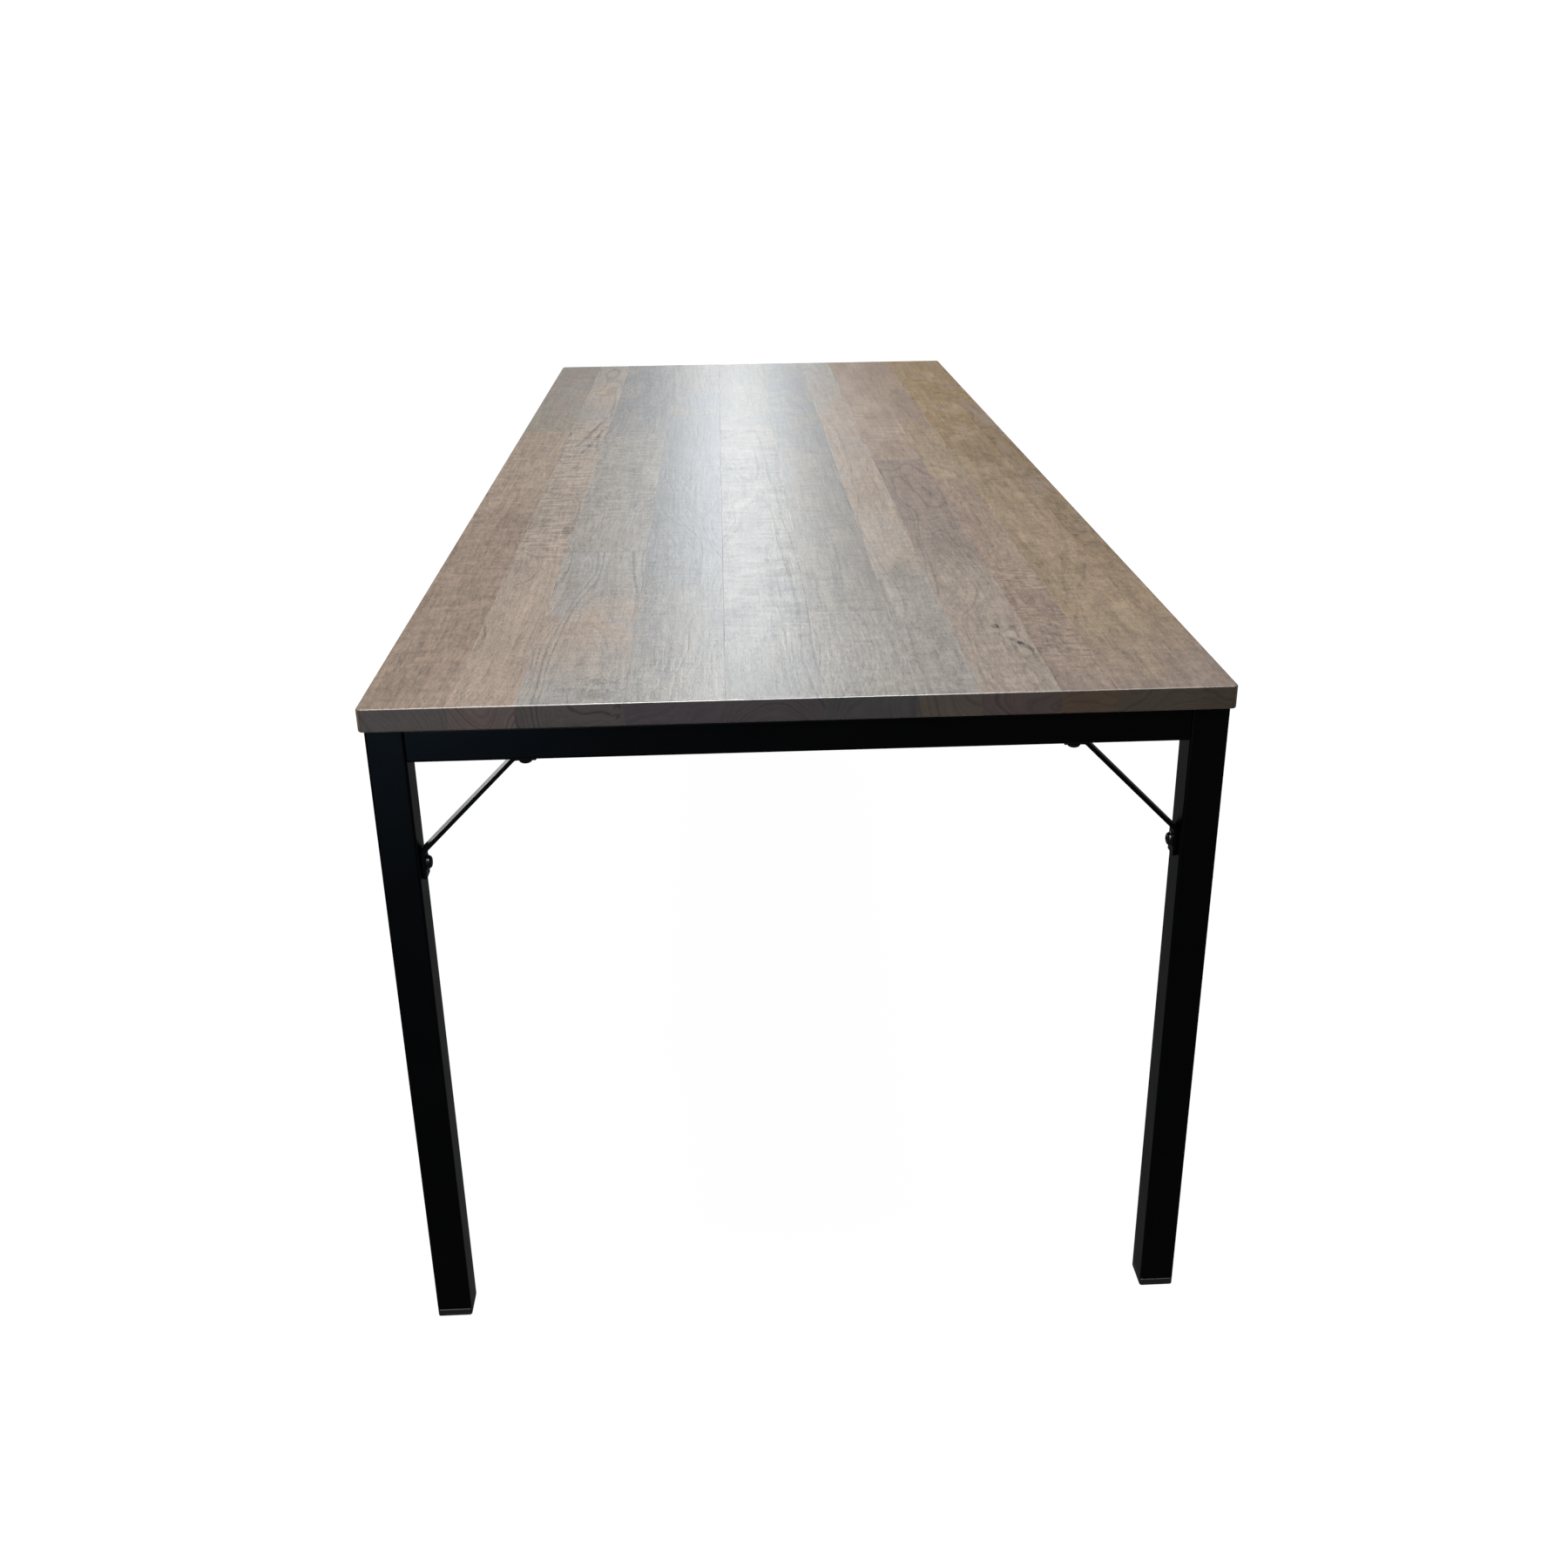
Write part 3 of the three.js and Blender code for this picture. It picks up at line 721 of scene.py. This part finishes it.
def stave_mesh(slab, low, high, top_low, top_high):
    """The part of the slab that one stave fills, its sawn edges eased. It meets its neighbours
    in the middle of the frame's clearance."""
    mesh = slab.copy()
    for axis in (0, 1):
        for corner, limit, sign in ((low, top_low, -1), (high, top_high, 1)):
            if abs(corner[axis] - limit[axis]) > CLEARANCE / 4:
                outwards = Vector((0, 0, 0))
                outwards[axis] = sign
                cut_away(mesh, corner + outwards * CLEARANCE / 2, outwards)
    bmesh.ops.recalc_face_normals(mesh, faces=mesh.faces)
    sawn = [edge for edge in mesh.edges if edge.calc_face_angle(0.0) > SAWN_ANGLE]
    bmesh.ops.bevel(
        mesh, geom=sawn, offset=SEAM_ARRIS, segments=2, profile=0.5, affect="EDGES",
        clamp_overlap=True,
    )
    return mesh


def build_top():
    names = [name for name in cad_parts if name.startswith("stave_")]
    boxes = {name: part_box(name) for name in names}
    top_low = Vector(min(box[0][axis] for box in boxes.values()) for axis in range(3))
    top_high = Vector(max(box[1][axis] for box in boxes.values()) for axis in range(3))
    slab = top_slab(top_low, top_high)
    for number, name in enumerate(sorted(names)):
        low, high = boxes[name]
        mesh = stave_mesh(slab, low, high, top_low, top_high)
        material = wood(name, LOOKS[name], number + 1, low, high)
        add_piece(name, mesh, Matrix.Identity(4), material)
    slab.free()


# ------------------------------------------------------------------------------- the frame

TUBE_ROUND = 3 * MM
TUBE_STEPS = 6
TUBE_WALL = 2 * MM
CROSS_RAIL_WALL = 1.5 * MM
END_ARRIS = 0.4 * MM  # the eased edge at a tube's sawn end


def tube_mesh(low, high, axis, wall):
    """A square tube between two corners, open along one axis."""
    size = high - low
    across = [size[(axis + 1) % 3], size[(axis + 2) % 3]]
    length = size[axis]
    rings = []
    for inset, z in (
        (END_ARRIS, 0), (0, END_ARRIS), (0, length - END_ARRIS), (END_ARRIS, length),
        (wall, length), (wall, 0),
    ):
        outline = rounded_rectangle(
            across[0] / 2 - inset, across[1] / 2 - inset, TUBE_ROUND - inset, TUBE_STEPS
        )
        rings.append(level(outline, z))
    mesh = loft(rings, closed=True)
    turn = Matrix.Identity(3)
    turn.col[0] = Vector([1.0 if i == (axis + 1) % 3 else 0.0 for i in range(3)])
    turn.col[1] = Vector([1.0 if i == (axis + 2) % 3 else 0.0 for i in range(3)])
    turn.col[2] = Vector([1.0 if i == axis else 0.0 for i in range(3)])
    start = (low + high) / 2
    start[axis] = low[axis]
    place = Matrix.Translation(start) @ turn.to_4x4()
    bmesh.ops.transform(mesh, matrix=place, verts=mesh.verts)
    return mesh


LEG_HALF = 20 * MM  # half the side of a leg
BOLT_HOLE_RADIUS = 4.5 * MM
BOLT_HOLE_LENGTH = 20 * MM
FOOT_HEAD = 9.7 * MM
FOOT_CORE = 15 * MM  # half the side of the plug's core
FOOT_FIN = 17.7 * MM  # half the side of its fins
FOOT_CORE_HEIGHT = 22 * MM
FOOT_FIRST_FIN = 2 * MM
FOOT_FIN_PITCH = 6 * MM
FOOT_FIN_THICKNESS = 1.5 * MM
FOOT_EDGE_ROUND = 1.5 * MM
FOOT_TOP_ROUND = 0.5 * MM
FOOT_CORE_ROUND = 1 * MM
FOOT_EDGE_STEPS = 4
FOOT_CORNER_STEPS = 5


def foot_mesh(low, high):
    """A tube cap: a square head with rounded edges, and a finned plug above it."""
    half = (high.x - low.x) / 2
    levels = []
    for step in range(FOOT_EDGE_STEPS + 1):
        angle = step / FOOT_EDGE_STEPS * math.pi / 2
        inset = FOOT_EDGE_ROUND * (1 - math.sin(angle))
        levels.append((half - inset, TUBE_ROUND - inset, FOOT_EDGE_ROUND * (1 - math.cos(angle))))
    levels.append((half, TUBE_ROUND, FOOT_HEAD - FOOT_TOP_ROUND))
    levels.append((half - FOOT_TOP_ROUND, TUBE_ROUND - FOOT_TOP_ROUND, FOOT_HEAD))
    levels.append((FOOT_CORE, FOOT_CORE_ROUND, FOOT_HEAD))
    fin = FOOT_HEAD + FOOT_FIRST_FIN
    top = FOOT_HEAD + FOOT_CORE_HEIGHT
    while fin < top - FOOT_FIN_THICKNESS:
        fin_top = fin + FOOT_FIN_THICKNESS
        levels.append((FOOT_CORE, FOOT_CORE_ROUND, fin))
        levels.append((FOOT_FIN, FOOT_CORE_ROUND, fin))
        levels.append((FOOT_FIN, FOOT_CORE_ROUND, fin_top))
        levels.append((FOOT_CORE, FOOT_CORE_ROUND, fin_top))
        fin += FOOT_FIN_PITCH
    levels.append((FOOT_CORE, FOOT_CORE_ROUND, top))
    return loft([
        level(rounded_rectangle(side, side, radius, FOOT_CORNER_STEPS), z)
        for side, radius, z in levels
    ])


def middle_of(node):
    low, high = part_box(node)
    return (low + high) / 2


def build_frame(coat, plastic):
    for end in ("near", "far"):
        for side in ("left", "right"):
            corner = f"{end}_{side}"
            leg = f"leg_{corner}"
            bolt = middle_of(f"leg_bolt_{corner}")
            mesh = tube_mesh(*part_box(leg), 2, TUBE_WALL)
            inwards = -math.copysign(1, bolt.x)
            face = Vector((middle_of(leg).x + inwards * LEG_HALF, bolt.y, bolt.z))
            hole = (face, Vector((1, 0, 0)), BOLT_HOLE_RADIUS, BOLT_HOLE_LENGTH)
            add_piece(leg, drilled(mesh, [hole]), Matrix.Identity(4), coat)

            foot = f"foot_{corner}"
            place = Matrix.Translation(Vector((middle_of(foot).x, middle_of(foot).y, 0)))
            add_piece(foot, foot_mesh(*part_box(foot)), place, plastic)

        apron = f"{end}_apron"
        low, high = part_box(apron)
        holes = []
        for side in ("left", "right"):
            bolt = middle_of(f"apron_bolt_{end}_{side}")
            seat = Vector((bolt.x, bolt.y, low.z))
            holes.append((seat, Vector((0, 0, 1)), BOLT_HOLE_RADIUS, BOLT_HOLE_LENGTH))
        mesh = drilled(tube_mesh(low, high, 0, TUBE_WALL), holes)
        add_piece(apron, mesh, Matrix.Identity(4), coat)

        rail = f"{end}_cross_rail"
        mesh = tube_mesh(*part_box(rail), 0, CROSS_RAIL_WALL)
        add_piece(rail, mesh, Matrix.Identity(4), coat)
    for side in ("left", "right"):
        rail = f"{side}_side_rail"
        mesh = tube_mesh(*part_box(rail), 1, TUBE_WALL)
        add_piece(rail, mesh, Matrix.Identity(4), coat)


# ------------------------------------------------------------------------------ the braces

BRACE_THICKNESS = 4.5 * MM
BRACE_WIDTH = 20 * MM
BRACE_BEND = 6 * MM  # to the middle of the bar
BRACE_DIAGONAL = 109.6 * MM  # where the middle of the slanting bar would cross leg and apron
BRACE_EDGE_ROUND = 0.7 * MM
BEND_STEPS = 8
BRACE_ROUND_STEPS = 3


def bend(middle, start, stop):
    """Points round a bend, each with the angle that its outer side faces."""
    points = []
    for step in range(BEND_STEPS + 1):
        angle = start + (stop - start) * step / BEND_STEPS
        points.append((middle + BRACE_BEND * Vector((math.cos(angle), math.sin(angle))), angle))
    return points


def brace_mesh(leg_end, apron_end):
    """A flat bar bent twice. Its corner is the origin, x runs along the apron and z up the leg,
    and it reaches leg_end down the leg and apron_end along the apron."""
    tab = CLEARANCE + BRACE_THICKNESS / 2
    to_arc = BRACE_BEND * math.tan(math.pi / 8)
    slant = to_arc * math.sqrt(0.5)
    inner = BRACE_BEND * math.sqrt(0.5)
    leg_bend = Vector((tab + BRACE_BEND, tab - BRACE_DIAGONAL - to_arc))
    apron_bend = Vector((BRACE_DIAGONAL - tab - slant + inner, -tab - slant - inner))
    path = [(Vector((tab, -leg_end)), math.pi)]
    path += bend(leg_bend, math.pi, math.pi * 0.75)
    path += bend(apron_bend, math.pi * 0.75, math.pi / 2)
    path.append((Vector((apron_end, -tab)), math.pi / 2))
    rings = []
    for number, (point, angle) in enumerate(path):
        outwards = Vector((math.cos(angle), math.sin(angle)))
        onwards = Vector((math.sin(angle), -math.cos(angle)))
        is_start = number == 0
        is_end = number == len(path) - 1
        ends = [(0.0, 0.0)]
        if is_start:
            ends = [(BRACE_EDGE_ROUND / 2, 0.0), (0.0, BRACE_EDGE_ROUND / 2)]
        if is_end:
            ends = [(0.0, -BRACE_EDGE_ROUND / 2), (BRACE_EDGE_ROUND / 2, 0.0)]
        for inset, along in ends:
            section = rounded_rectangle(
                BRACE_THICKNESS / 2 - inset, BRACE_WIDTH / 2 - inset, BRACE_EDGE_ROUND - inset,
                BRACE_ROUND_STEPS,
            )
            middle = point + onwards * along
            rings.append(
                [
                    Vector((middle.x + outwards.x * t, w, middle.y + outwards.y * t))
                    for t, w in section
                ]
            )
    return loft(rings)


BOLT_COUNT = 48  # points round a bolt
BOLT_HEAD = 5 * MM
BOLT_PROFILE = (  # radius and height of the flange above the seat, in millimetres
    (8.35, 0.0), (8.75, 0.25), (8.75, 0.6), (8.5, 0.85), (7.6, 1.15), (7.2, 1.4),
)
BOLT_DOME_FOOT = (7.2, 1.4)  # these and the sizes below are in millimetres
BOLT_CROWN = (3.9, 5.0)
BOLT_SOCKET = 2.5  # half of the hexagon across its flats
BOLT_SOCKET_DEPTH = 2.6
BOLT_SHANK = 4.0
BOLT_SHANK_LENGTH = 20.0
BOLT_PITCH = 1.25
BOLT_THREAD_DEPTH = 0.65
BOLT_TIP = 2.6  # the radius of the shank's end
BOLT_TIP_LENGTH = 0.6
SOCKET_CHAMFER = 0.3
SOCKET_POINT = 0.6  # the radius of the bottom of the drilled socket
SOCKET_CONE = 0.5
DOME_STEPS = 8


def hexagon(across):
    """The radius of a hexagon as a function of the angle."""
    return lambda angle: across / math.cos((angle % (math.pi / 3)) - math.pi / 6)


def thread_rings(radius, depth, pitch, start, stop, count):
    """Rings from start up to stop whose radius rises and falls in a helix."""
    rings = []
    steps = round((stop - start) / pitch * 4)
    for step in range(steps + 1):
        z = start + (stop - start) * step / steps
        fade = min(1.0, step / 4, (steps - step) / 4)

        def radius_at(angle, z=z, fade=fade):
            turn = (z / pitch - angle / (2 * math.pi)) % 1
            return (radius - depth * fade * abs(2 * turn - 1)) * MM

        rings.append(ring(radius_at, lambda angle, z=z: z * MM, count))
    return rings


def bolt_mesh():
    """A flanged button-head bolt along Z, its seat on z = 0 and its head up."""
    rings = [circle(BOLT_TIP * MM, -BOLT_SHANK_LENGTH * MM, BOLT_COUNT)]
    thread_start = -BOLT_SHANK_LENGTH + BOLT_TIP_LENGTH
    rings += thread_rings(
        BOLT_SHANK, BOLT_THREAD_DEPTH, BOLT_PITCH, thread_start, 0.0, BOLT_COUNT
    )
    rings += [circle(radius * MM, z * MM, BOLT_COUNT) for radius, z in BOLT_PROFILE]
    for step in range(1, DOME_STEPS + 1):
        angle = step / DOME_STEPS * math.pi / 2
        radius = BOLT_CROWN[0] + (BOLT_DOME_FOOT[0] - BOLT_CROWN[0]) * math.cos(angle)
        z = BOLT_DOME_FOOT[1] + (BOLT_CROWN[1] - BOLT_DOME_FOOT[1]) * math.sin(angle)
        rings.append(circle(radius * MM, z * MM, BOLT_COUNT))
    rim = hexagon((BOLT_SOCKET + SOCKET_CHAMFER) * MM)
    wall = hexagon(BOLT_SOCKET * MM)
    top = BOLT_CROWN[1] * MM
    floor = (BOLT_CROWN[1] - BOLT_SOCKET_DEPTH) * MM
    rings.append(ring(rim, lambda angle: top, BOLT_COUNT))
    rings.append(ring(wall, lambda angle: top - SOCKET_CHAMFER * MM, BOLT_COUNT))
    rings.append(ring(wall, lambda angle: floor, BOLT_COUNT))
    rings.append(circle(SOCKET_POINT * MM, floor - SOCKET_CONE * MM, BOLT_COUNT))
    return loft(rings)


def build_braces(coat, steel):
    for end in ("near", "far"):
        for side in ("left", "right"):
            corner = f"{end}_{side}"
            brace = f"brace_{corner}"
            low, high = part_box(brace)
            apron_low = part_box(f"{end}_apron")[0]
            leg_low, leg_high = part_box(f"leg_{corner}")
            is_left = side == "left"
            inner_face = leg_high.x if is_left else leg_low.x
            origin = Vector((inner_face, (low.y + high.y) / 2, apron_low.z))
            leg_end = apron_low.z - low.z
            apron_end = max(abs(low.x - inner_face), abs(high.x - inner_face))
            turn = Matrix.Rotation(0.0 if is_left else math.pi, 4, "Z")
            place = Matrix.Translation(origin) @ turn
            mesh = brace_mesh(leg_end, apron_end)
            bmesh.ops.transform(mesh, matrix=place, verts=mesh.verts)
            leg_bolt = middle_of(f"leg_bolt_{corner}")
            apron_bolt = middle_of(f"apron_bolt_{corner}")
            holes = [
                (Vector((inner_face, leg_bolt.y, leg_bolt.z)), Vector((1, 0, 0)),
                 BOLT_HOLE_RADIUS, BOLT_HOLE_LENGTH),
                (Vector((apron_bolt.x, apron_bolt.y, apron_low.z)), Vector((0, 0, 1)),
                 BOLT_HOLE_RADIUS, BOLT_HOLE_LENGTH),
            ]
            add_piece(brace, drilled(mesh, holes), Matrix.Identity(4), coat)

            inwards = Vector((1 if is_left else -1, 0, 0))
            add_bolt(f"leg_bolt_{corner}", inwards, steel)
            add_bolt(f"apron_bolt_{corner}", Vector((0, 0, -1)), steel)


def add_bolt(node, heads_to, steel):
    """A bolt in the place of its node, its head towards a direction."""
    low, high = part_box(node)
    middle = (low + high) / 2
    reach = abs((high - low).dot(heads_to)) / 2
    seat = middle + heads_to * (reach - BOLT_HEAD)
    turn = Vector((0, 0, 1)).rotation_difference(heads_to).to_matrix().to_4x4()
    add_piece(node, bolt_mesh(), Matrix.Translation(seat) @ turn, steel)


# ------------------------------------------------------------------- what holds the top down

SCREW_COUNT = 32  # points round a screw
SCREW_HEAD = 3.0  # its height. This and the sizes below are in millimetres
SCREW_FACE = 3.0  # the radius of the head's flat face
SCREW_DOME = 2.0  # how much wider the head is at its rim
SCREW_RIM = 0.6  # how far the rim's upper edge is from the seat
SCREW_DOME_HEIGHT = 2.4
SCREW_RADIUS = 5.0
SCREW_UNDERCUT = 0.1
SCREW_DOME_STEPS = 5
SCREW_SHANK = 2.3
SCREW_THREAD_DEPTH = 0.6
SCREW_PITCH = 1.8
SCREW_THREAD_LENGTH = 14.6
SCREW_POINT = 0.2
SCREW_LENGTH = 18.6
RECESS_FLOOR = (1.0, 0.4)  # the recess's arm and half its arm's width, at the bottom
RECESS_MOUTH = (2.6, 0.55)
RECESS_FLOOR_Z = -1.3


def cross(arm, half_width):
    """A cross-shaped recess's radius as a function of the angle, from sizes in millimetres."""
    arm *= MM
    half_width *= MM

    def radius_at(angle):
        c, s = abs(math.cos(angle)) + 1e-6, abs(math.sin(angle)) + 1e-6
        return max(min(arm / c, half_width / s), min(arm / s, half_width / c))

    return radius_at


def screw_mesh():
    """A pan-head wood screw along Z, its head's seat on z = 0 and its point up."""
    rings = [
        ring(cross(*RECESS_FLOOR), lambda angle: RECESS_FLOOR_Z * MM, SCREW_COUNT),
        ring(cross(*RECESS_MOUTH), lambda angle: -SCREW_HEAD * MM, SCREW_COUNT),
    ]
    for step in range(SCREW_DOME_STEPS + 1):
        angle = step / SCREW_DOME_STEPS * math.pi / 2
        radius = SCREW_FACE + SCREW_DOME * math.sin(angle)
        z = -(SCREW_RIM + SCREW_DOME_HEIGHT * math.cos(angle))
        rings.append(circle(radius * MM, z * MM, SCREW_COUNT))
    rings.append(circle(SCREW_RADIUS * MM, -SCREW_UNDERCUT * MM, SCREW_COUNT))
    rings.append(circle((SCREW_RADIUS - SCREW_UNDERCUT) * MM, 0.0, SCREW_COUNT))
    rings += thread_rings(
        SCREW_SHANK, SCREW_THREAD_DEPTH, SCREW_PITCH, 0.0, SCREW_THREAD_LENGTH, SCREW_COUNT
    )
    rings.append(circle(SCREW_POINT * MM, SCREW_LENGTH * MM, SCREW_COUNT))
    return loft(rings)


def build_fixings(coat, metal):
    for node in sorted(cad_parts):
        if node.startswith("screw_"):
            low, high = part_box(node)
            middle = (low + high) / 2
            seat = Vector((middle.x, middle.y, low.z + SCREW_HEAD * MM))
            add_piece(node, screw_mesh(), Matrix.Translation(seat), metal)
        if node.startswith("tab_"):
            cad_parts[node].data.materials.clear()
            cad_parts[node].data.materials.append(coat)


# -------------------------------------------------------------------------------- the studio


FLOOR_HALF = 40  # half its side, in metres
FLOOR_GLOW = 0.97
FLOOR_GLOW_RISE = 0.05  # how much brighter the floor is far away
FLOOR_GLOW_EDGE = (1500.0, 6000.0)  # in millimetres from the middle of the table


def add_floor():
    """A floor that glows almost white, so that the table's shadows on it stay faint."""
    mesh = bmesh.new()
    bmesh.ops.create_grid(mesh, x_segments=8, y_segments=8, size=FLOOR_HALF)
    floor = add_object("floor", mesh)
    s = Shader("pale_floor")
    x, y = s.parts(s.place())[:2]
    away = s.math("SQRT", s.plus(s.times(x, x), s.times(y, y)))
    glow = s.plus(FLOOR_GLOW, s.times(s.span(away, *FLOOR_GLOW_EDGE), FLOOR_GLOW_RISE))
    s.set(
        Base_Color=(0.12, 0.12, 0.12, 1.0), Roughness=0.9, Specular_IOR_Level=0.0,
        Emission_Color=(1.0, 1.0, 1.0, 1.0), Emission_Strength=glow,
    )
    floor.data.materials.append(s.material)
    floor.visible_glossy = False
    floor.visible_diffuse = False


def add_softbox(name, place, aim, size, power, tint, only_mirrored=False):
    """A rectangular area light at a place, turned to shine at a point. One that is only mirrored
    shows as a highlight and lights nothing else."""
    lamp = bpy.data.lights.new(name, "AREA")
    lamp.shape = "RECTANGLE"
    lamp.size, lamp.size_y = size
    lamp.energy = power
    lamp.color = tint
    made = bpy.data.objects.new(name, lamp)
    made.location = place
    made.rotation_mode = "QUATERNION"
    made.rotation_quaternion = (Vector(aim) - Vector(place)).to_track_quat("-Z", "Y")
    made.visible_camera = False
    made.visible_diffuse = not only_mirrored
    bpy.context.scene.collection.objects.link(made)


def add_world():
    """White behind the table, and a dim even room for everything that isn't seen directly."""
    world = bpy.data.worlds.new("studio")
    world.use_nodes = True
    bpy.context.scene.world = world
    tree = world.node_tree
    seen = tree.nodes.new("ShaderNodeLightPath")
    room = tree.nodes["Background"]
    room.inputs["Color"].default_value = (0.95, 0.97, 1.0, 1.0)
    room.inputs["Strength"].default_value = 0.12
    backdrop = tree.nodes.new("ShaderNodeBackground")
    backdrop.inputs["Color"].default_value = (1.0, 1.0, 1.0, 1.0)
    backdrop.inputs["Strength"].default_value = 1.05
    mix = tree.nodes.new("ShaderNodeMixShader")
    tree.links.new(seen.outputs["Is Camera Ray"], mix.inputs[0])
    tree.links.new(room.outputs[0], mix.inputs[1])
    tree.links.new(backdrop.outputs[0], mix.inputs[2])
    tree.links.new(mix.outputs[0], tree.nodes["World Output"].inputs["Surface"])


def add_lights():
    """Three lamps that light the table, and three that are only mirrored, for its highlights."""
    add_softbox(
        "overhead", place=(0, 0.6, 4.2), aim=(0, 0, 0), size=(4.5, 5.5), power=188,
        tint=(1.0, 0.985, 0.96),
    )
    add_softbox(
        "front", place=(-1.6, -5.5, 2.7), aim=(0, -1.2, 0.7), size=(2.0, 1.2), power=62,
        tint=(1.0, 0.97, 0.94),
    )
    add_softbox(
        "window", place=(0.0, 6.5, 3.7), aim=(0.0, 0, 0.8), size=(0.5, 3.4), power=43,
        tint=(0.85, 0.93, 1.0),
    )
    add_softbox(
        "edge_glint", place=(-0.16, -2.5, 3.8), aim=(-0.16, -1.2, 0.775), size=(1.1, 1.9),
        power=520, tint=(0.98, 0.99, 1.0), only_mirrored=True,
    )
    add_softbox(
        "brace_glint", place=(-1.9, 2.4, 0.3), aim=(-0.35, -1.2, 0.66), size=(1.5, 0.8),
        power=10, tint=(1.0, 1.0, 0.96), only_mirrored=True,
    )
    add_softbox(
        "coat_sheen", place=(-0.95, -3.4, 0.15), aim=(-0.4, -1.2, 0.7), size=(0.7, 0.5),
        power=3.2, tint=(0.36, 0.68, 1.0), only_mirrored=True,
    )


CAMERA_PLACE = (-0.0717, -2.7155, 1.3139)
CAMERA_YAW = -0.04846  # radians, turned towards +X
CAMERA_PITCH = -0.40928  # radians, looking down
CAMERA_ROLL = -0.01089
CAMERA_LENS = 36.35
CAMERA_SHIFT = (-0.0136, 0.0138)


def add_camera():
    lens = bpy.data.cameras.new("camera")
    lens.sensor_width = 36.0
    lens.lens = CAMERA_LENS
    lens.shift_x, lens.shift_y = CAMERA_SHIFT
    lens.clip_end = 200.0
    camera = bpy.data.objects.new("camera", lens)
    yaw = Matrix.Rotation(CAMERA_YAW, 4, "Z")
    pitch = Matrix.Rotation(math.pi / 2 + CAMERA_PITCH, 4, "X")
    roll = Matrix.Rotation(CAMERA_ROLL, 4, "Z")
    camera.matrix_world = Matrix.Translation(CAMERA_PLACE) @ yaw @ pitch @ roll
    bpy.context.scene.collection.objects.link(camera)
    bpy.context.scene.camera = camera


# ----------------------------------------------------------------------------------- making

bpy.context.scene.view_settings.view_transform = "Standard"

coat = powder_coat()
build_top()
build_frame(coat, foot_plastic())
build_braces(coat, blackened_steel())
build_fixings(coat, zinc())
add_floor()
add_world()
add_lights()
add_camera()
